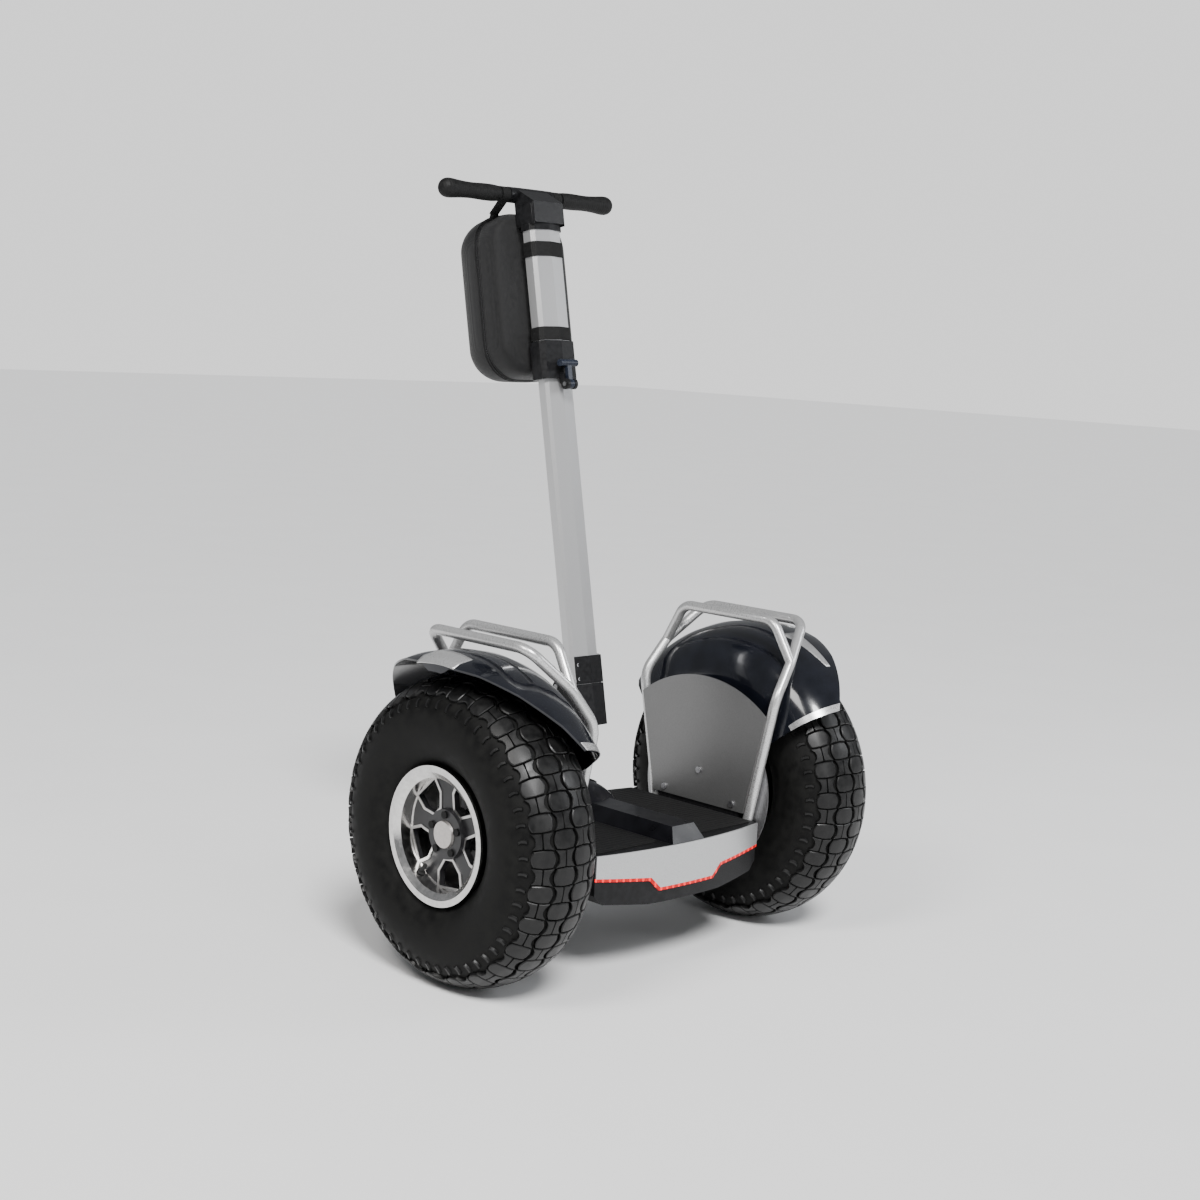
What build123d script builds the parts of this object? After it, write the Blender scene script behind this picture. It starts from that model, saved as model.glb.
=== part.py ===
from build123d import *
from math import cos, degrees, pi, radians, sin, sqrt, tan
import os

# Off-road two-wheel self-balancing scooter with a folding, telescoping steering stem.
# Millimetres. Origin on the ground below the middle of the axle, +X right, +Y forward, +Z up.

os.makedirs("parts", exist_ok=True)

# ---- driving dimensions ------------------------------------------------------------
# Wheels
tyre_radius = 267.0
tyre_width = 170.0
overall_width = 884.0
bead_radius = 101.6
carcass_wall = 11.0
rim_lip_radius = 119.5
rim_half_width = 74.0
rim_wall = 5.0
dish_depth = 33.0
spoke_thickness = 10.0
window_count = 5
window_inner_radius = 46.0
window_outer_radius = 95.0
window_half_width = 25.0
window_first_angle = 30.0
hub_boss_radius = 44.0
hub_boss_height = 9.0
hub_cap_radius = 24.0
hub_cap_height = 5.0
wheel_bolt_circle_radius = 34.0
wheel_bolt_radius = 4.0
wheel_bolt_head_radius = 6.5

# Drive train
axle_radius = 15.0
running_clearance = 0.05
flange_radius = 44.0
flange_thickness = 12.0
gear_module = 2.0
gear_teeth = 59
pinion_teeth = 18
gear_width = 9.0
gear_side_gap = 1.0
pressure_angle = 20.0
tooth_share = 0.43
snout_radius = 38.0
snout_end_x = 340.0
case_wall = 3.5
case_face_x = 222.5
case_top_half_width = 40.0
case_height_above_axle = 68.0
motor_radius = 34.0
motor_length = 104.0
motor_wall = 4.0
motor_nose_length = 15.0
motor_shaft_radius = 6.0

# Chassis
deck_top = 236.0
deck_thickness = 4.0
deck_half_width = 207.0
deck_end_y = 165.0
deck_middle_y = 187.0
housing_bottom = 136.0
housing_side_bottom = 148.0
housing_wall = 4.0
strip_thickness = 3.0
strip_top = 235.5
strip_end_bottom = 196.0
strip_knee_bottom = 184.0
strip_middle_bottom = 163.5
strip_knee_x = 89.0
strip_foot_x = 67.0
port_x = 100.0
port_z = 205.0
port_radius = 13.0
button_radius = 9.0
light_height = 5.5
light_recess = 0.5
mat_thickness = 2.0
mat_margin = 8.0

battery_length = 320.0
battery_width = 96.0
battery_height = 66.0
battery_y = -95.0
controller_length = 160.0
controller_width = 90.0
controller_base = 14.0
controller_fin_height = 8.0
controller_y = 95.0

# Tunnel, lean pivot and neck
tunnel_base_half_width = 40.0
tunnel_top_half_width = 28.0
tunnel_height = 27.0
tunnel_rear_y = -184.0
tunnel_slope_run = 16.0
tunnel_wall = 3.0
dome_radius = 94.0
dome_y = 105.0
lean_pivot_z = 196.0
lean_limit = 12.0
neck_half_width = 16.0
neck_rear_y = 116.0
neck_front_y = 146.0
neck_barrel_radius = 20.0
neck_barrel_rear_y = 95.0
neck_barrel_front_y = 150.0
journal_radius = 10.0
journal_length = 18.0
cover_gap = 0.4
cover_thickness = 2.6

# Side plates, guards and fenders
plate_x = 219.5
plate_thickness = 3.0
plate_bottom = 241.0
plate_bottom_half_width = 116.0
plate_top_half_width = 158.0
plate_shoulder_z = 430.0
plate_arc_radius = 260.0
plate_screw_y = 87.0
plate_screw_z = 253.0
plate_top_screw_z = 302.0
plate_screw_head_radius = 6.0
guard_radius = 9.5
guard_wall = 2.0
guard_foot_z = 228.0
guard_leg_y = 118.0
guard_leg_x = 232.0
guard_kink = (232.0, 168.0, 464.0)
guard_branch = (280.0, 158.0, 528.0)
guard_corner = (351.0, 123.0, 597.0)
hoop_corner = (277.0, 114.0, 601.0)
shield_x = 243.0
shield_thickness = 2.5
shield_radius = 155.0
fender_wall = 3.0
fender_outer_x = 444.0
fender_half_angle = 53.5
fender_planform_radius = 310.0
fender_skirt_half_angle = 20.0
trim_width = 12.0

# Stem
stem_lean = 11.8
stem_seam_y = 101.7
stem_seam_z = 470.0
tube_half_width = 34.5
tube_side_half = 8.5
tube_bevel = 5.7
tube_ridge = 6.0
tube_wall = 2.5
slide_gap = 0.3
fold_block_height = 77.0
fold_block_cover = 6.0
fold_sleeve_cover = 3.0
fold_sleeve_height = 54.0
fold_gap = 0.4
fold_hollow_depth = 45.0
fold_pin_y = 37.0
fold_pin_radius = 5.0
knuckle_radius = 10.0
knuckle_inner_x = 17.5
knuckle_outer_x = 34.0
knuckle_gap = 0.5
latch_t = -62.0
latch_boss_end_y = 34.0
lower_tube_top = 760.0
upper_tube_bottom = 572.0
upper_tube_top = 884.0
collar_bottom = 566.0
collar_top = 636.0
collar_cover = 8.5
clamp_pin_y = -38.5
clamp_pin_t = 553.0
clamp_pin_radius = 4.0
clamp_eye_radius = 10.0
clamp_eye_spans = ((-12.0, 6.0), (6.0, 6.0))
clamp_side_play = 0.5
clamp_arm_width = 10.0
clamp_arm_depth = 8.0
clamp_handle_t = 592.0
clamp_handle_radius = 6.5
clamp_handle_half_length = 21.0

# Handlebar
bar_y = 25.7
bar_t = 913.5
bar_radius = 11.0
bar_half_length = 205.0
grip_end_x = 211.4
grip_start_x = 78.0
grip_end_radius = 17.0
head_half_width = 37.0
head_bottom_t = 842.0
head_barrel_radius = 14.5
head_barrel_half_length = 53.0
head_depth = 25.5
head_shoulder_t = 893.0
head_foot_height = 12.0
head_foot_cover = 2.5
loop_x = 64.0
loop_half_width = 9.5

# Bag
bag_half_width = 93.0
bag_bottom_t = 577.0
bag_top_t = 886.0
bag_back_y = 27.0
bag_seam_y = 80.0
bag_front_y = 158.0
bag_wall = 3.0
bag_seam_gap = 0.3
bag_corner_radius = 66.0
bag_front_rounding = 42.0
bag_back_rounding = 10.0
lower_strap = (638.0, 24.0)
upper_strap = (793.0, 27.0)
strap_thickness = 2.0
loop_thickness = 3.0

# Parking stand
stand_half_width = 60.0
stand_tube_radius = 8.0
stand_pivot_y = 140.0
stand_pivot_z = 124.0
stand_foot_y = 175.0
stand_pin_radius = 4.0
stand_lug_radius = 10.0
stand_lug_width = 8.0
stand_lug_offset = 12.0
stand_bend_radius = 25.0

# ---- values worked out from the driving dimensions ---------------------------------
axle_height = tyre_radius
tyre_outer_x = overall_width / 2
tyre_mid_x = tyre_outer_x - tyre_width / 2
rim_face_x = tyre_mid_x + rim_half_width
spoke_face_x = rim_face_x - dish_depth
spoke_back_x = spoke_face_x - spoke_thickness
gear_pitch_radius = gear_module * gear_teeth / 2
pinion_pitch_radius = gear_module * pinion_teeth / 2
motor_z = axle_height - gear_pitch_radius - pinion_pitch_radius
gear_inner_x = case_face_x + case_wall + gear_side_gap
gear_outer_x = gear_inner_x + gear_width
case_outer_x = gear_outer_x + gear_side_gap + case_wall
deck_bottom = deck_top - deck_thickness
housing_inner_x = deck_half_width - housing_wall
dome_deck_radius = sqrt(dome_radius**2 - (deck_top - lean_pivot_z) ** 2)
dome_top_z = lean_pivot_z + dome_radius
controller_top = housing_bottom + housing_wall + controller_base + controller_fin_height
slot_half_width = neck_half_width + dome_radius * sin(radians(lean_limit)) + 3
plate_arc_z = plate_shoulder_z - sqrt(plate_arc_radius**2 - plate_top_half_width**2)
sides = ((-1, "left"), (1, "right"))
axle_line = Axis((0, 0, axle_height), (1, 0, 0))
stem_plane = Plane(
    origin=(0, stem_seam_y, stem_seam_z),
    x_dir=(1, 0, 0),
    z_dir=(0, sin(radians(stem_lean)), cos(radians(stem_lean))),
)


# ---- shared shapes -----------------------------------------------------------------
def radial_plane(side, forward_angle=0.0):
    """Plane through the axle, x outboard and y radial, tipped forward from upright."""
    lean = radians(forward_angle)
    normal = (0, -side * cos(lean), side * sin(lean))
    return Plane(origin=(0, 0, axle_height), x_dir=(side, 0, 0), z_dir=normal)


def wheel_plane(side, x, z=axle_height):
    """Plane facing outboard at distance x from the middle; its y runs up."""
    return Plane(origin=(side * x, 0, z), x_dir=(0, side, 0), z_dir=(side, 0, 0))


def stem_at(t):
    """Plane across the stem, t along it from the fold seam; its y runs forward."""
    return stem_plane.offset(t)


def stem_side(x):
    """Plane facing right at x, with its x running forward and its y up the stem."""
    origin = stem_plane.origin + stem_plane.x_dir * x
    return Plane(origin=origin, x_dir=stem_plane.y_dir, z_dir=stem_plane.x_dir)


def ridged_outline(cover=0.0):
    """Corner points of the tube section grown outward by cover: flat sides, bevels, two ridges."""
    wide = tube_half_width + cover
    flat = tube_side_half + cover * tan(radians(22.5))
    bevel_x = wide - tube_bevel - cover * (1 - tan(radians(40)))
    bevel_y = flat + tube_bevel + cover * 0.38
    ridge_y = bevel_y + tube_ridge
    quarter = [(wide, flat), (bevel_x, bevel_y), (0, ridge_y)]
    left = [(-x, y) for x, y in reversed(quarter[:2])]
    top = quarter + left
    return top + [(-x, -y) for x, y in top]


def ridged_face(cover=0.0):
    """Tube section grown outward by cover, as a face."""
    with BuildSketch(Plane.XY) as section:
        with BuildLine():
            Polyline(ridged_outline(cover), close=True)
        make_face()
    return section.sketch


def gear_outline(teeth, first_angle):
    """Corner points of a spur gear with straight flanks, one tooth centred on first_angle."""
    pitch_radius = gear_module * teeth / 2
    points = []
    for tooth in range(teeth):
        middle = radians(first_angle + 360 * tooth / teeth)
        for radius, sign in (
            (pitch_radius - 1.25 * gear_module, -1),
            (pitch_radius + gear_module, -1),
            (pitch_radius + gear_module, 1),
            (pitch_radius - 1.25 * gear_module, 1),
        ):
            half = tooth_share * pi * gear_module / 2
            half -= (radius - pitch_radius) * tan(radians(pressure_angle))
            angle = middle + sign * half / radius
            points.append((radius * cos(angle), radius * sin(angle)))
    return points


def deck_face(inset, side_inset=0.0):
    """Deck outline with straight sides and bowed front and rear edges."""
    half = deck_half_width - side_inset
    end = deck_end_y - inset
    middle = deck_middle_y - inset
    with BuildSketch(Plane.XY) as outline:
        with BuildLine():
            rear = ThreePointArc((-half, -end), (0, -middle), (half, -end))
            front = ThreePointArc((half, end), (0, middle), (-half, end))
            Line(rear @ 1, front @ 0)
            Line(front @ 1, rear @ 0)
        make_face()
    return outline.sketch


def edge_band(end, outer_inset, inner_inset):
    """Thin curved band along the rear (end -1) or front (end 1) edge of the deck."""
    half = deck_half_width
    with BuildSketch(Plane.XY) as band:
        with BuildLine():
            outer = ThreePointArc(
                (-half, end * (deck_end_y - outer_inset)),
                (0, end * (deck_middle_y - outer_inset)),
                (half, end * (deck_end_y - outer_inset)),
            )
            inner = ThreePointArc(
                (-half, end * (deck_end_y - inner_inset)),
                (0, end * (deck_middle_y - inner_inset)),
                (half, end * (deck_end_y - inner_inset)),
            )
            Line(outer @ 0, inner @ 0)
            Line(outer @ 1, inner @ 1)
        make_face()
    return band.sketch


def turned(points, angle):
    """The points rotated by angle degrees about the sketch's origin."""
    c = cos(radians(angle))
    s = sin(radians(angle))
    return [(x * c - y * s, x * s + y * c) for x, y in points]


def shifted(points, distance):
    """The points of an open outline moved sideways by distance, to its left when positive."""
    moved = []
    for index, (x, y) in enumerate(points):
        before = points[max(index - 1, 0)]
        after = points[min(index + 1, len(points) - 1)]
        run = (after[0] - before[0], after[1] - before[1])
        length = sqrt(run[0] ** 2 + run[1] ** 2)
        moved.append((x - distance * run[1] / length, y + distance * run[0] / length))
    return moved


def strip_lower_edge(drop):
    """Lower edge of the edge strip from left to right, lowered by drop."""
    spread = drop * 0.5
    half = [
        (deck_half_width, strip_end_bottom - drop),
        (strip_knee_x + spread, strip_knee_bottom - drop),
        (strip_foot_x + spread, strip_middle_bottom - drop),
    ]
    return [(-x, z) for x, z in half] + list(reversed(half))


front_view = Plane.XZ.offset(-deck_middle_y - 20)
view_depth = 2 * (deck_middle_y + 20)

# ---- wheels ------------------------------------------------------------------------
section_middle = (tyre_radius + bead_radius) / 2
section_half_height = (tyre_radius - bead_radius) / 2
bulge_power = 2 / 2.2


def tyre_section_point(side_angle, inset):
    """Point of the tyre's rounded section; side_angle runs from -90 at the crown's side."""
    c = cos(radians(side_angle))
    s = sin(radians(side_angle))
    half = tyre_width / 2 - inset
    height = section_half_height - inset
    across = half * abs(c) ** bulge_power * (1 if c > 0 else -1)
    up = height * abs(s) ** bulge_power * (1 if s > 0 else -1)
    return (tyre_mid_x + across, section_middle + up)


window_points = [
    (window_inner_radius, -9),
    (66, -window_half_width),
    (window_outer_radius - 4, -window_half_width - 2),
    (window_outer_radius, 0),
    (window_outer_radius - 4, window_half_width + 2),
    (66, window_half_width),
    (window_inner_radius, 9),
]

for side, side_name in sides:
    # Hollow tyre carcass, open toward the rim between its two beads
    with BuildPart() as tyre:
        with BuildSketch(radial_plane(side)):
            with BuildLine():
                outer = Spline([tyre_section_point(a, 0) for a in range(-50, 231, 20)])
                inner = Spline([tyre_section_point(a, carcass_wall) for a in range(-50, 231, 20)])
                Line(outer @ 0, inner @ 0)
                Line(outer @ 1, inner @ 1)
            make_face()
        revolve(axis=axle_line)
    tyre.part.label = f"tyre_{side_name}"
    export_step(tyre.part, f"parts/tyre_{side_name}.step")

    # Drop-centre rim with a spoked disc near its outer lip
    with BuildPart() as rim:
        with BuildSketch(radial_plane(side)):
            lip = rim_lip_radius
            seat = bead_radius
            with BuildLine():
                Polyline(
                    (rim_face_x, lip),
                    (rim_face_x, lip - 11),
                    (rim_face_x - 8, seat - rim_wall + 1),
                    (tyre_mid_x - rim_half_width + 8, seat - rim_wall),
                    (tyre_mid_x - rim_half_width, lip - 6),
                    (tyre_mid_x - rim_half_width, lip),
                    (tyre_mid_x - rim_half_width + 5, lip),
                    (tyre_mid_x - rim_half_width + 13, seat),
                    (rim_face_x - 13, seat),
                    (rim_face_x - 5, lip),
                    close=True,
                )
            make_face()
        revolve(axis=axle_line)
        with BuildSketch(wheel_plane(side, spoke_back_x)):
            Circle(bead_radius - 2)
        extrude(amount=spoke_thickness)
        with BuildSketch(wheel_plane(side, spoke_face_x)):
            Circle(hub_boss_radius)
        extrude(amount=hub_boss_height, taper=10)
        # Hexagonal windows between the spokes
        with BuildSketch(wheel_plane(side, spoke_back_x)):
            for window in range(window_count):
                turn = 90 + side * window_first_angle + 360 * window / window_count
                with BuildLine():
                    Polyline(turned(window_points, turn), close=True)
                make_face()
        extrude(amount=spoke_thickness, mode=Mode.SUBTRACT)
        # Bore behind the centre cap and the wheel bolt holes
        with BuildSketch(wheel_plane(side, spoke_back_x)):
            Circle(hub_cap_radius - 2)
            with PolarLocations(wheel_bolt_circle_radius, window_count, start_angle=90):
                Circle(wheel_bolt_radius)
        extrude(amount=spoke_thickness + hub_boss_height, mode=Mode.SUBTRACT)
    rim.part.label = f"rim_{side_name}"
    export_step(rim.part, f"parts/rim_{side_name}.step")

    # Round centre cap pressed into the hub bore
    with BuildPart() as hub_cap:
        with BuildSketch(wheel_plane(side, spoke_face_x + hub_boss_height)):
            Circle(hub_cap_radius)
        extrude(amount=hub_cap_height, taper=15)
        with BuildSketch(wheel_plane(side, spoke_face_x + hub_boss_height)):
            Circle(hub_cap_radius - 2)
        extrude(amount=-8)
    hub_cap.part.label = f"hub_cap_{side_name}"
    export_step(hub_cap.part, f"parts/hub_cap_{side_name}.step")

    # Axle turned in one piece with its gear and its wheel flange
    with BuildPart() as drive_axle:
        with BuildSketch(wheel_plane(side, gear_inner_x)):
            with BuildLine():
                Polyline(gear_outline(gear_teeth, -90), close=True)
            make_face()
        extrude(amount=gear_width)
        with BuildSketch(wheel_plane(side, gear_inner_x)):
            Circle(axle_radius)
        extrude(amount=spoke_back_x - gear_inner_x)
        with BuildSketch(wheel_plane(side, spoke_back_x)):
            Circle(flange_radius)
            with PolarLocations(wheel_bolt_circle_radius, window_count, start_angle=90):
                Circle(wheel_bolt_radius, mode=Mode.SUBTRACT)
        extrude(amount=-flange_thickness)
    drive_axle.part.label = f"drive_axle_{side_name}"
    export_step(drive_axle.part, f"parts/drive_axle_{side_name}.step")

    # Five bolts that hold the rim to the flange
    with BuildPart() as wheel_bolts:
        with BuildSketch(wheel_plane(side, spoke_back_x - flange_thickness)):
            with PolarLocations(wheel_bolt_circle_radius, window_count, start_angle=90):
                Circle(wheel_bolt_radius)
        extrude(amount=flange_thickness + spoke_thickness + hub_boss_height + 1)
        with BuildSketch(wheel_plane(side, spoke_face_x + hub_boss_height)):
            with PolarLocations(wheel_bolt_circle_radius, window_count, start_angle=90):
                Circle(wheel_bolt_head_radius)
        extrude(amount=4)
    wheel_bolts.part.label = f"wheel_bolts_{side_name}"
    export_step(wheel_bolts.part, f"parts/wheel_bolts_{side_name}.step")

    # Tyre valve standing inward from the rim barrel
    valve_angle = radians(-126)
    valve_direction = (0, side * cos(valve_angle), sin(valve_angle))
    valve_start = bead_radius - rim_wall
    valve_plane = Plane(
        origin=(
            side * (spoke_face_x + 10),
            valve_direction[1] * valve_start,
            axle_height + valve_direction[2] * valve_start,
        ),
        x_dir=(1, 0, 0),
        z_dir=(0, -valve_direction[1], -valve_direction[2]),
    )
    with BuildPart() as valve:
        with BuildSketch(valve_plane):
            Circle(4)
        extrude(amount=18)
        with BuildSketch(valve_plane):
            Circle(7)
        extrude(amount=3)
        with BuildSketch(wheel_plane(side, rim_face_x - 60)):
            Circle(bead_radius - rim_wall - 0.5)
        extrude(amount=60, mode=Mode.INTERSECT)
    valve.part.label = f"valve_{side_name}"
    export_step(valve.part, f"parts/valve_{side_name}.step")

# ---- drive train -------------------------------------------------------------------
for side, side_name in sides:
    # Gear case: foot on the chassis side, flat gear chamber, bearing snout into the rim
    with BuildPart() as gearbox_case:
        with BuildSketch(wheel_plane(side, case_face_x)):
            with BuildLine():
                Polyline(
                    (-102, deck_top - 8 - axle_height),
                    (-100, plate_screw_z + 12 - axle_height),
                    (-case_top_half_width, case_height_above_axle),
                    (case_top_half_width, case_height_above_axle),
                    (100, plate_screw_z + 12 - axle_height),
                    (102, deck_top - 8 - axle_height),
                    close=True,
                )
            make_face()
        extrude(amount=case_outer_x - case_face_x)
        with BuildSketch(wheel_plane(side, deck_half_width)):
            with Locations((0, (guard_foot_z + 165) / 2 - axle_height)):
                Rectangle(2 * (guard_leg_y + 14), guard_foot_z - 165)
        extrude(amount=case_outer_x - deck_half_width)
        with BuildSketch(wheel_plane(side, case_outer_x)):
            Circle(snout_radius)
        extrude(amount=snout_end_x - case_outer_x)
        # Chamber for the gear and its pinion
        with BuildSketch(wheel_plane(side, case_face_x + case_wall)):
            Circle(gear_pitch_radius + gear_module + 2.5)
            with Locations((0, motor_z - axle_height)):
                Circle(pinion_pitch_radius + gear_module + 2.5)
        extrude(amount=gear_width + 2 * gear_side_gap, mode=Mode.SUBTRACT)
        # Axle bearing bore and the motor shaft passage
        with BuildSketch(wheel_plane(side, case_face_x + case_wall)):
            Circle(axle_radius + running_clearance)
        extrude(amount=snout_end_x - case_face_x, mode=Mode.SUBTRACT)
        with BuildSketch(wheel_plane(side, deck_half_width, motor_z)):
            Circle(motor_shaft_radius + 3)
        extrude(amount=case_face_x + case_wall - deck_half_width, mode=Mode.SUBTRACT)
    gearbox_case.part.label = f"gearbox_case_{side_name}"
    export_step(gearbox_case.part, f"parts/gearbox_case_{side_name}.step")

    # Motor can, fixed to the housing's inner side wall by its nose
    motor_end_x = housing_inner_x - motor_nose_length
    with BuildPart() as motor_case:
        with BuildSketch(wheel_plane(side, motor_end_x - motor_length, motor_z)):
            Circle(motor_radius)
        extrude(amount=motor_length)
        with BuildSketch(wheel_plane(side, motor_end_x, motor_z)):
            Circle(20)
        extrude(amount=housing_inner_x - motor_end_x)
        with BuildSketch(wheel_plane(side, motor_end_x - motor_length + motor_wall, motor_z)):
            Circle(motor_radius - motor_wall)
        extrude(amount=motor_length - 2 * motor_wall, mode=Mode.SUBTRACT)
        with BuildSketch(wheel_plane(side, motor_end_x - motor_wall, motor_z)):
            Circle(motor_shaft_radius + running_clearance)
        extrude(amount=housing_inner_x - motor_end_x + motor_wall, mode=Mode.SUBTRACT)
    motor_case.part.label = f"motor_case_{side_name}"
    export_step(motor_case.part, f"parts/motor_case_{side_name}.step")

    # Motor rotor with its shaft and pinion; a gap between teeth faces the axle gear
    rotor_start_x = motor_end_x - motor_length + motor_wall + 3
    with BuildPart() as motor_rotor:
        with BuildSketch(wheel_plane(side, rotor_start_x, motor_z)):
            Circle(motor_radius - motor_wall - 2)
        extrude(amount=motor_length - 2 * motor_wall - 6)
        with BuildSketch(wheel_plane(side, rotor_start_x, motor_z)):
            Circle(motor_shaft_radius)
        extrude(amount=gear_outer_x - rotor_start_x)
        with BuildSketch(wheel_plane(side, gear_inner_x, motor_z)):
            with BuildLine():
                Polyline(gear_outline(pinion_teeth, 90 + 180 / pinion_teeth), close=True)
            make_face()
        extrude(amount=gear_width)
    motor_rotor.part.label = f"motor_rotor_{side_name}"
    export_step(motor_rotor.part, f"parts/motor_rotor_{side_name}.step")

# ---- chassis -----------------------------------------------------------------------
# Lower housing: open tub whose floor rises toward both sides
housing_section = [
    (deck_half_width, deck_bottom),
    (deck_half_width, housing_side_bottom + 17),
    (deck_half_width - 17, housing_side_bottom),
    (90, housing_bottom),
]
housing_cavity_section = [
    (housing_inner_x, deck_bottom),
    (housing_inner_x, housing_side_bottom + 19),
    (deck_half_width - 19, housing_side_bottom + housing_wall),
    (89, housing_bottom + housing_wall),
]
with BuildPart() as housing_cavity:
    with BuildSketch(Plane.XY.offset(housing_bottom)):
        add(deck_face(strip_thickness + housing_wall, housing_wall))
    extrude(amount=deck_bottom - housing_bottom)
    with BuildSketch(front_view):
        with BuildLine():
            mirrored = [(-x, z) for x, z in reversed(housing_cavity_section)]
            Polyline(housing_cavity_section + mirrored, close=True)
        make_face()
    extrude(amount=-view_depth, mode=Mode.INTERSECT, both=True)

with BuildPart() as lower_housing:
    with BuildSketch(Plane.XY.offset(housing_bottom)):
        add(deck_face(strip_thickness))
    extrude(amount=deck_bottom - housing_bottom)
    with BuildSketch(front_view):
        with BuildLine():
            mirrored = [(-x, z) for x, z in reversed(housing_section)]
            Polyline(housing_section + mirrored, close=True)
        make_face()
    extrude(amount=-view_depth, mode=Mode.INTERSECT, both=True)
    add(housing_cavity.part, mode=Mode.SUBTRACT)
    # Shaft passages to both gear cases
    with BuildSketch(wheel_plane(1, -deck_half_width, motor_z)):
        Circle(motor_shaft_radius + 3)
    extrude(amount=2 * deck_half_width, mode=Mode.SUBTRACT)
    # Hinge lugs for the parking stand below the floor
    right_lug_x = stand_half_width - stand_lug_offset - stand_lug_width
    for lug_x in (stand_lug_offset - stand_half_width, right_lug_x):
        with BuildSketch(Plane.YZ.offset(lug_x)):
            with Locations((stand_pivot_y, (housing_bottom + stand_pivot_z) / 2)):
                Rectangle(2 * stand_lug_radius, housing_bottom - stand_pivot_z)
            with Locations((stand_pivot_y, stand_pivot_z)):
                Circle(stand_lug_radius)
        extrude(amount=stand_lug_width)
    with BuildSketch(Plane.YZ.offset(-stand_half_width)):
        with Locations((stand_pivot_y, stand_pivot_z)):
            Circle(stand_pin_radius + running_clearance)
    extrude(amount=2 * stand_half_width, mode=Mode.SUBTRACT)
    # Openings in the front wall for the button and the charging socket
    with BuildSketch(Plane.XZ.offset(-deck_middle_y)):
        with Locations((port_x, port_z)):
            Circle(button_radius + running_clearance)
        with Locations((-port_x, port_z)):
            Circle(port_radius)
    extrude(amount=30, mode=Mode.SUBTRACT)
lower_housing.part.label = "lower_housing"
export_step(lower_housing.part, "parts/lower_housing.step")

# Deck plate with a round opening under the dome
with BuildPart() as deck_plate:
    with BuildSketch(Plane.XY.offset(deck_bottom)):
        add(deck_face(strip_thickness))
        with Locations((0, dome_y)):
            Circle(dome_deck_radius - 9, mode=Mode.SUBTRACT)
    extrude(amount=deck_thickness)
deck_plate.part.label = "deck_plate"
export_step(deck_plate.part, "parts/deck_plate.step")

# Two rubber standing mats, cut back round the dome
with BuildPart() as deck_mats:
    with BuildSketch(Plane.XY.offset(deck_top)):
        mat_inner_x = tunnel_base_half_width + mat_margin
        mat_outer_x = deck_half_width - mat_margin
        mat_half_length = deck_end_y - mat_margin
        for side, side_name in sides:
            with Locations((side * (mat_inner_x + mat_outer_x) / 2, 0)):
                RectangleRounded(mat_outer_x - mat_inner_x, 2 * mat_half_length, 12)
        with Locations((0, dome_y)):
            Circle(dome_deck_radius + mat_margin, mode=Mode.SUBTRACT)
    extrude(amount=mat_thickness)
deck_mats.part.label = "deck_mats"
export_step(deck_mats.part, "parts/deck_mats.step")

# Tunnel cover: tapered spine running into a round dome, slotted for the leaning neck
with BuildPart() as tunnel_inside:
    with BuildSketch(Plane.XY.offset(deck_top)):
        with Locations((0, (tunnel_rear_y + tunnel_wall + dome_y) / 2)):
            Rectangle(2 * (tunnel_base_half_width - tunnel_wall), dome_y - tunnel_rear_y - tunnel_wall)
    with BuildSketch(Plane.XY.offset(deck_top + tunnel_height - tunnel_wall)):
        with Locations((0, (tunnel_rear_y + tunnel_slope_run + tunnel_wall + dome_y) / 2)):
            Rectangle(
                2 * (tunnel_top_half_width - tunnel_wall + 1),
                dome_y - tunnel_rear_y - tunnel_slope_run - tunnel_wall,
            )
    loft()
    with Locations((0, dome_y, lean_pivot_z)):
        Sphere(dome_radius - tunnel_wall)
    with BuildSketch(Plane.XY.offset(deck_top)):
        with Locations((0, dome_y)):
            Rectangle(2 * slot_half_width, 2)
            with Locations((0, (neck_rear_y + neck_front_y) / 2 - dome_y)):
                Rectangle(2 * slot_half_width, neck_front_y - neck_rear_y + 14)
    extrude(amount=80)

with BuildPart() as tunnel_cover:
    with BuildSketch(Plane.XY.offset(deck_top)):
        with Locations((0, (tunnel_rear_y + dome_y) / 2)):
            Rectangle(2 * tunnel_base_half_width, dome_y - tunnel_rear_y)
    with BuildSketch(Plane.XY.offset(deck_top + tunnel_height)):
        with Locations((0, (tunnel_rear_y + tunnel_slope_run + dome_y) / 2)):
            Rectangle(2 * tunnel_top_half_width, dome_y - tunnel_rear_y - tunnel_slope_run)
    loft()
    with Locations((0, dome_y, lean_pivot_z)):
        Sphere(dome_radius)
    with BuildSketch(Plane.XY.offset(deck_top)):
        Rectangle(1000, 1000)
    extrude(amount=200, mode=Mode.INTERSECT)
    add(tunnel_inside.part, mode=Mode.SUBTRACT)
tunnel_cover.part.label = "tunnel_cover"
export_step(tunnel_cover.part, "parts/tunnel_cover.step")

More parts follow.
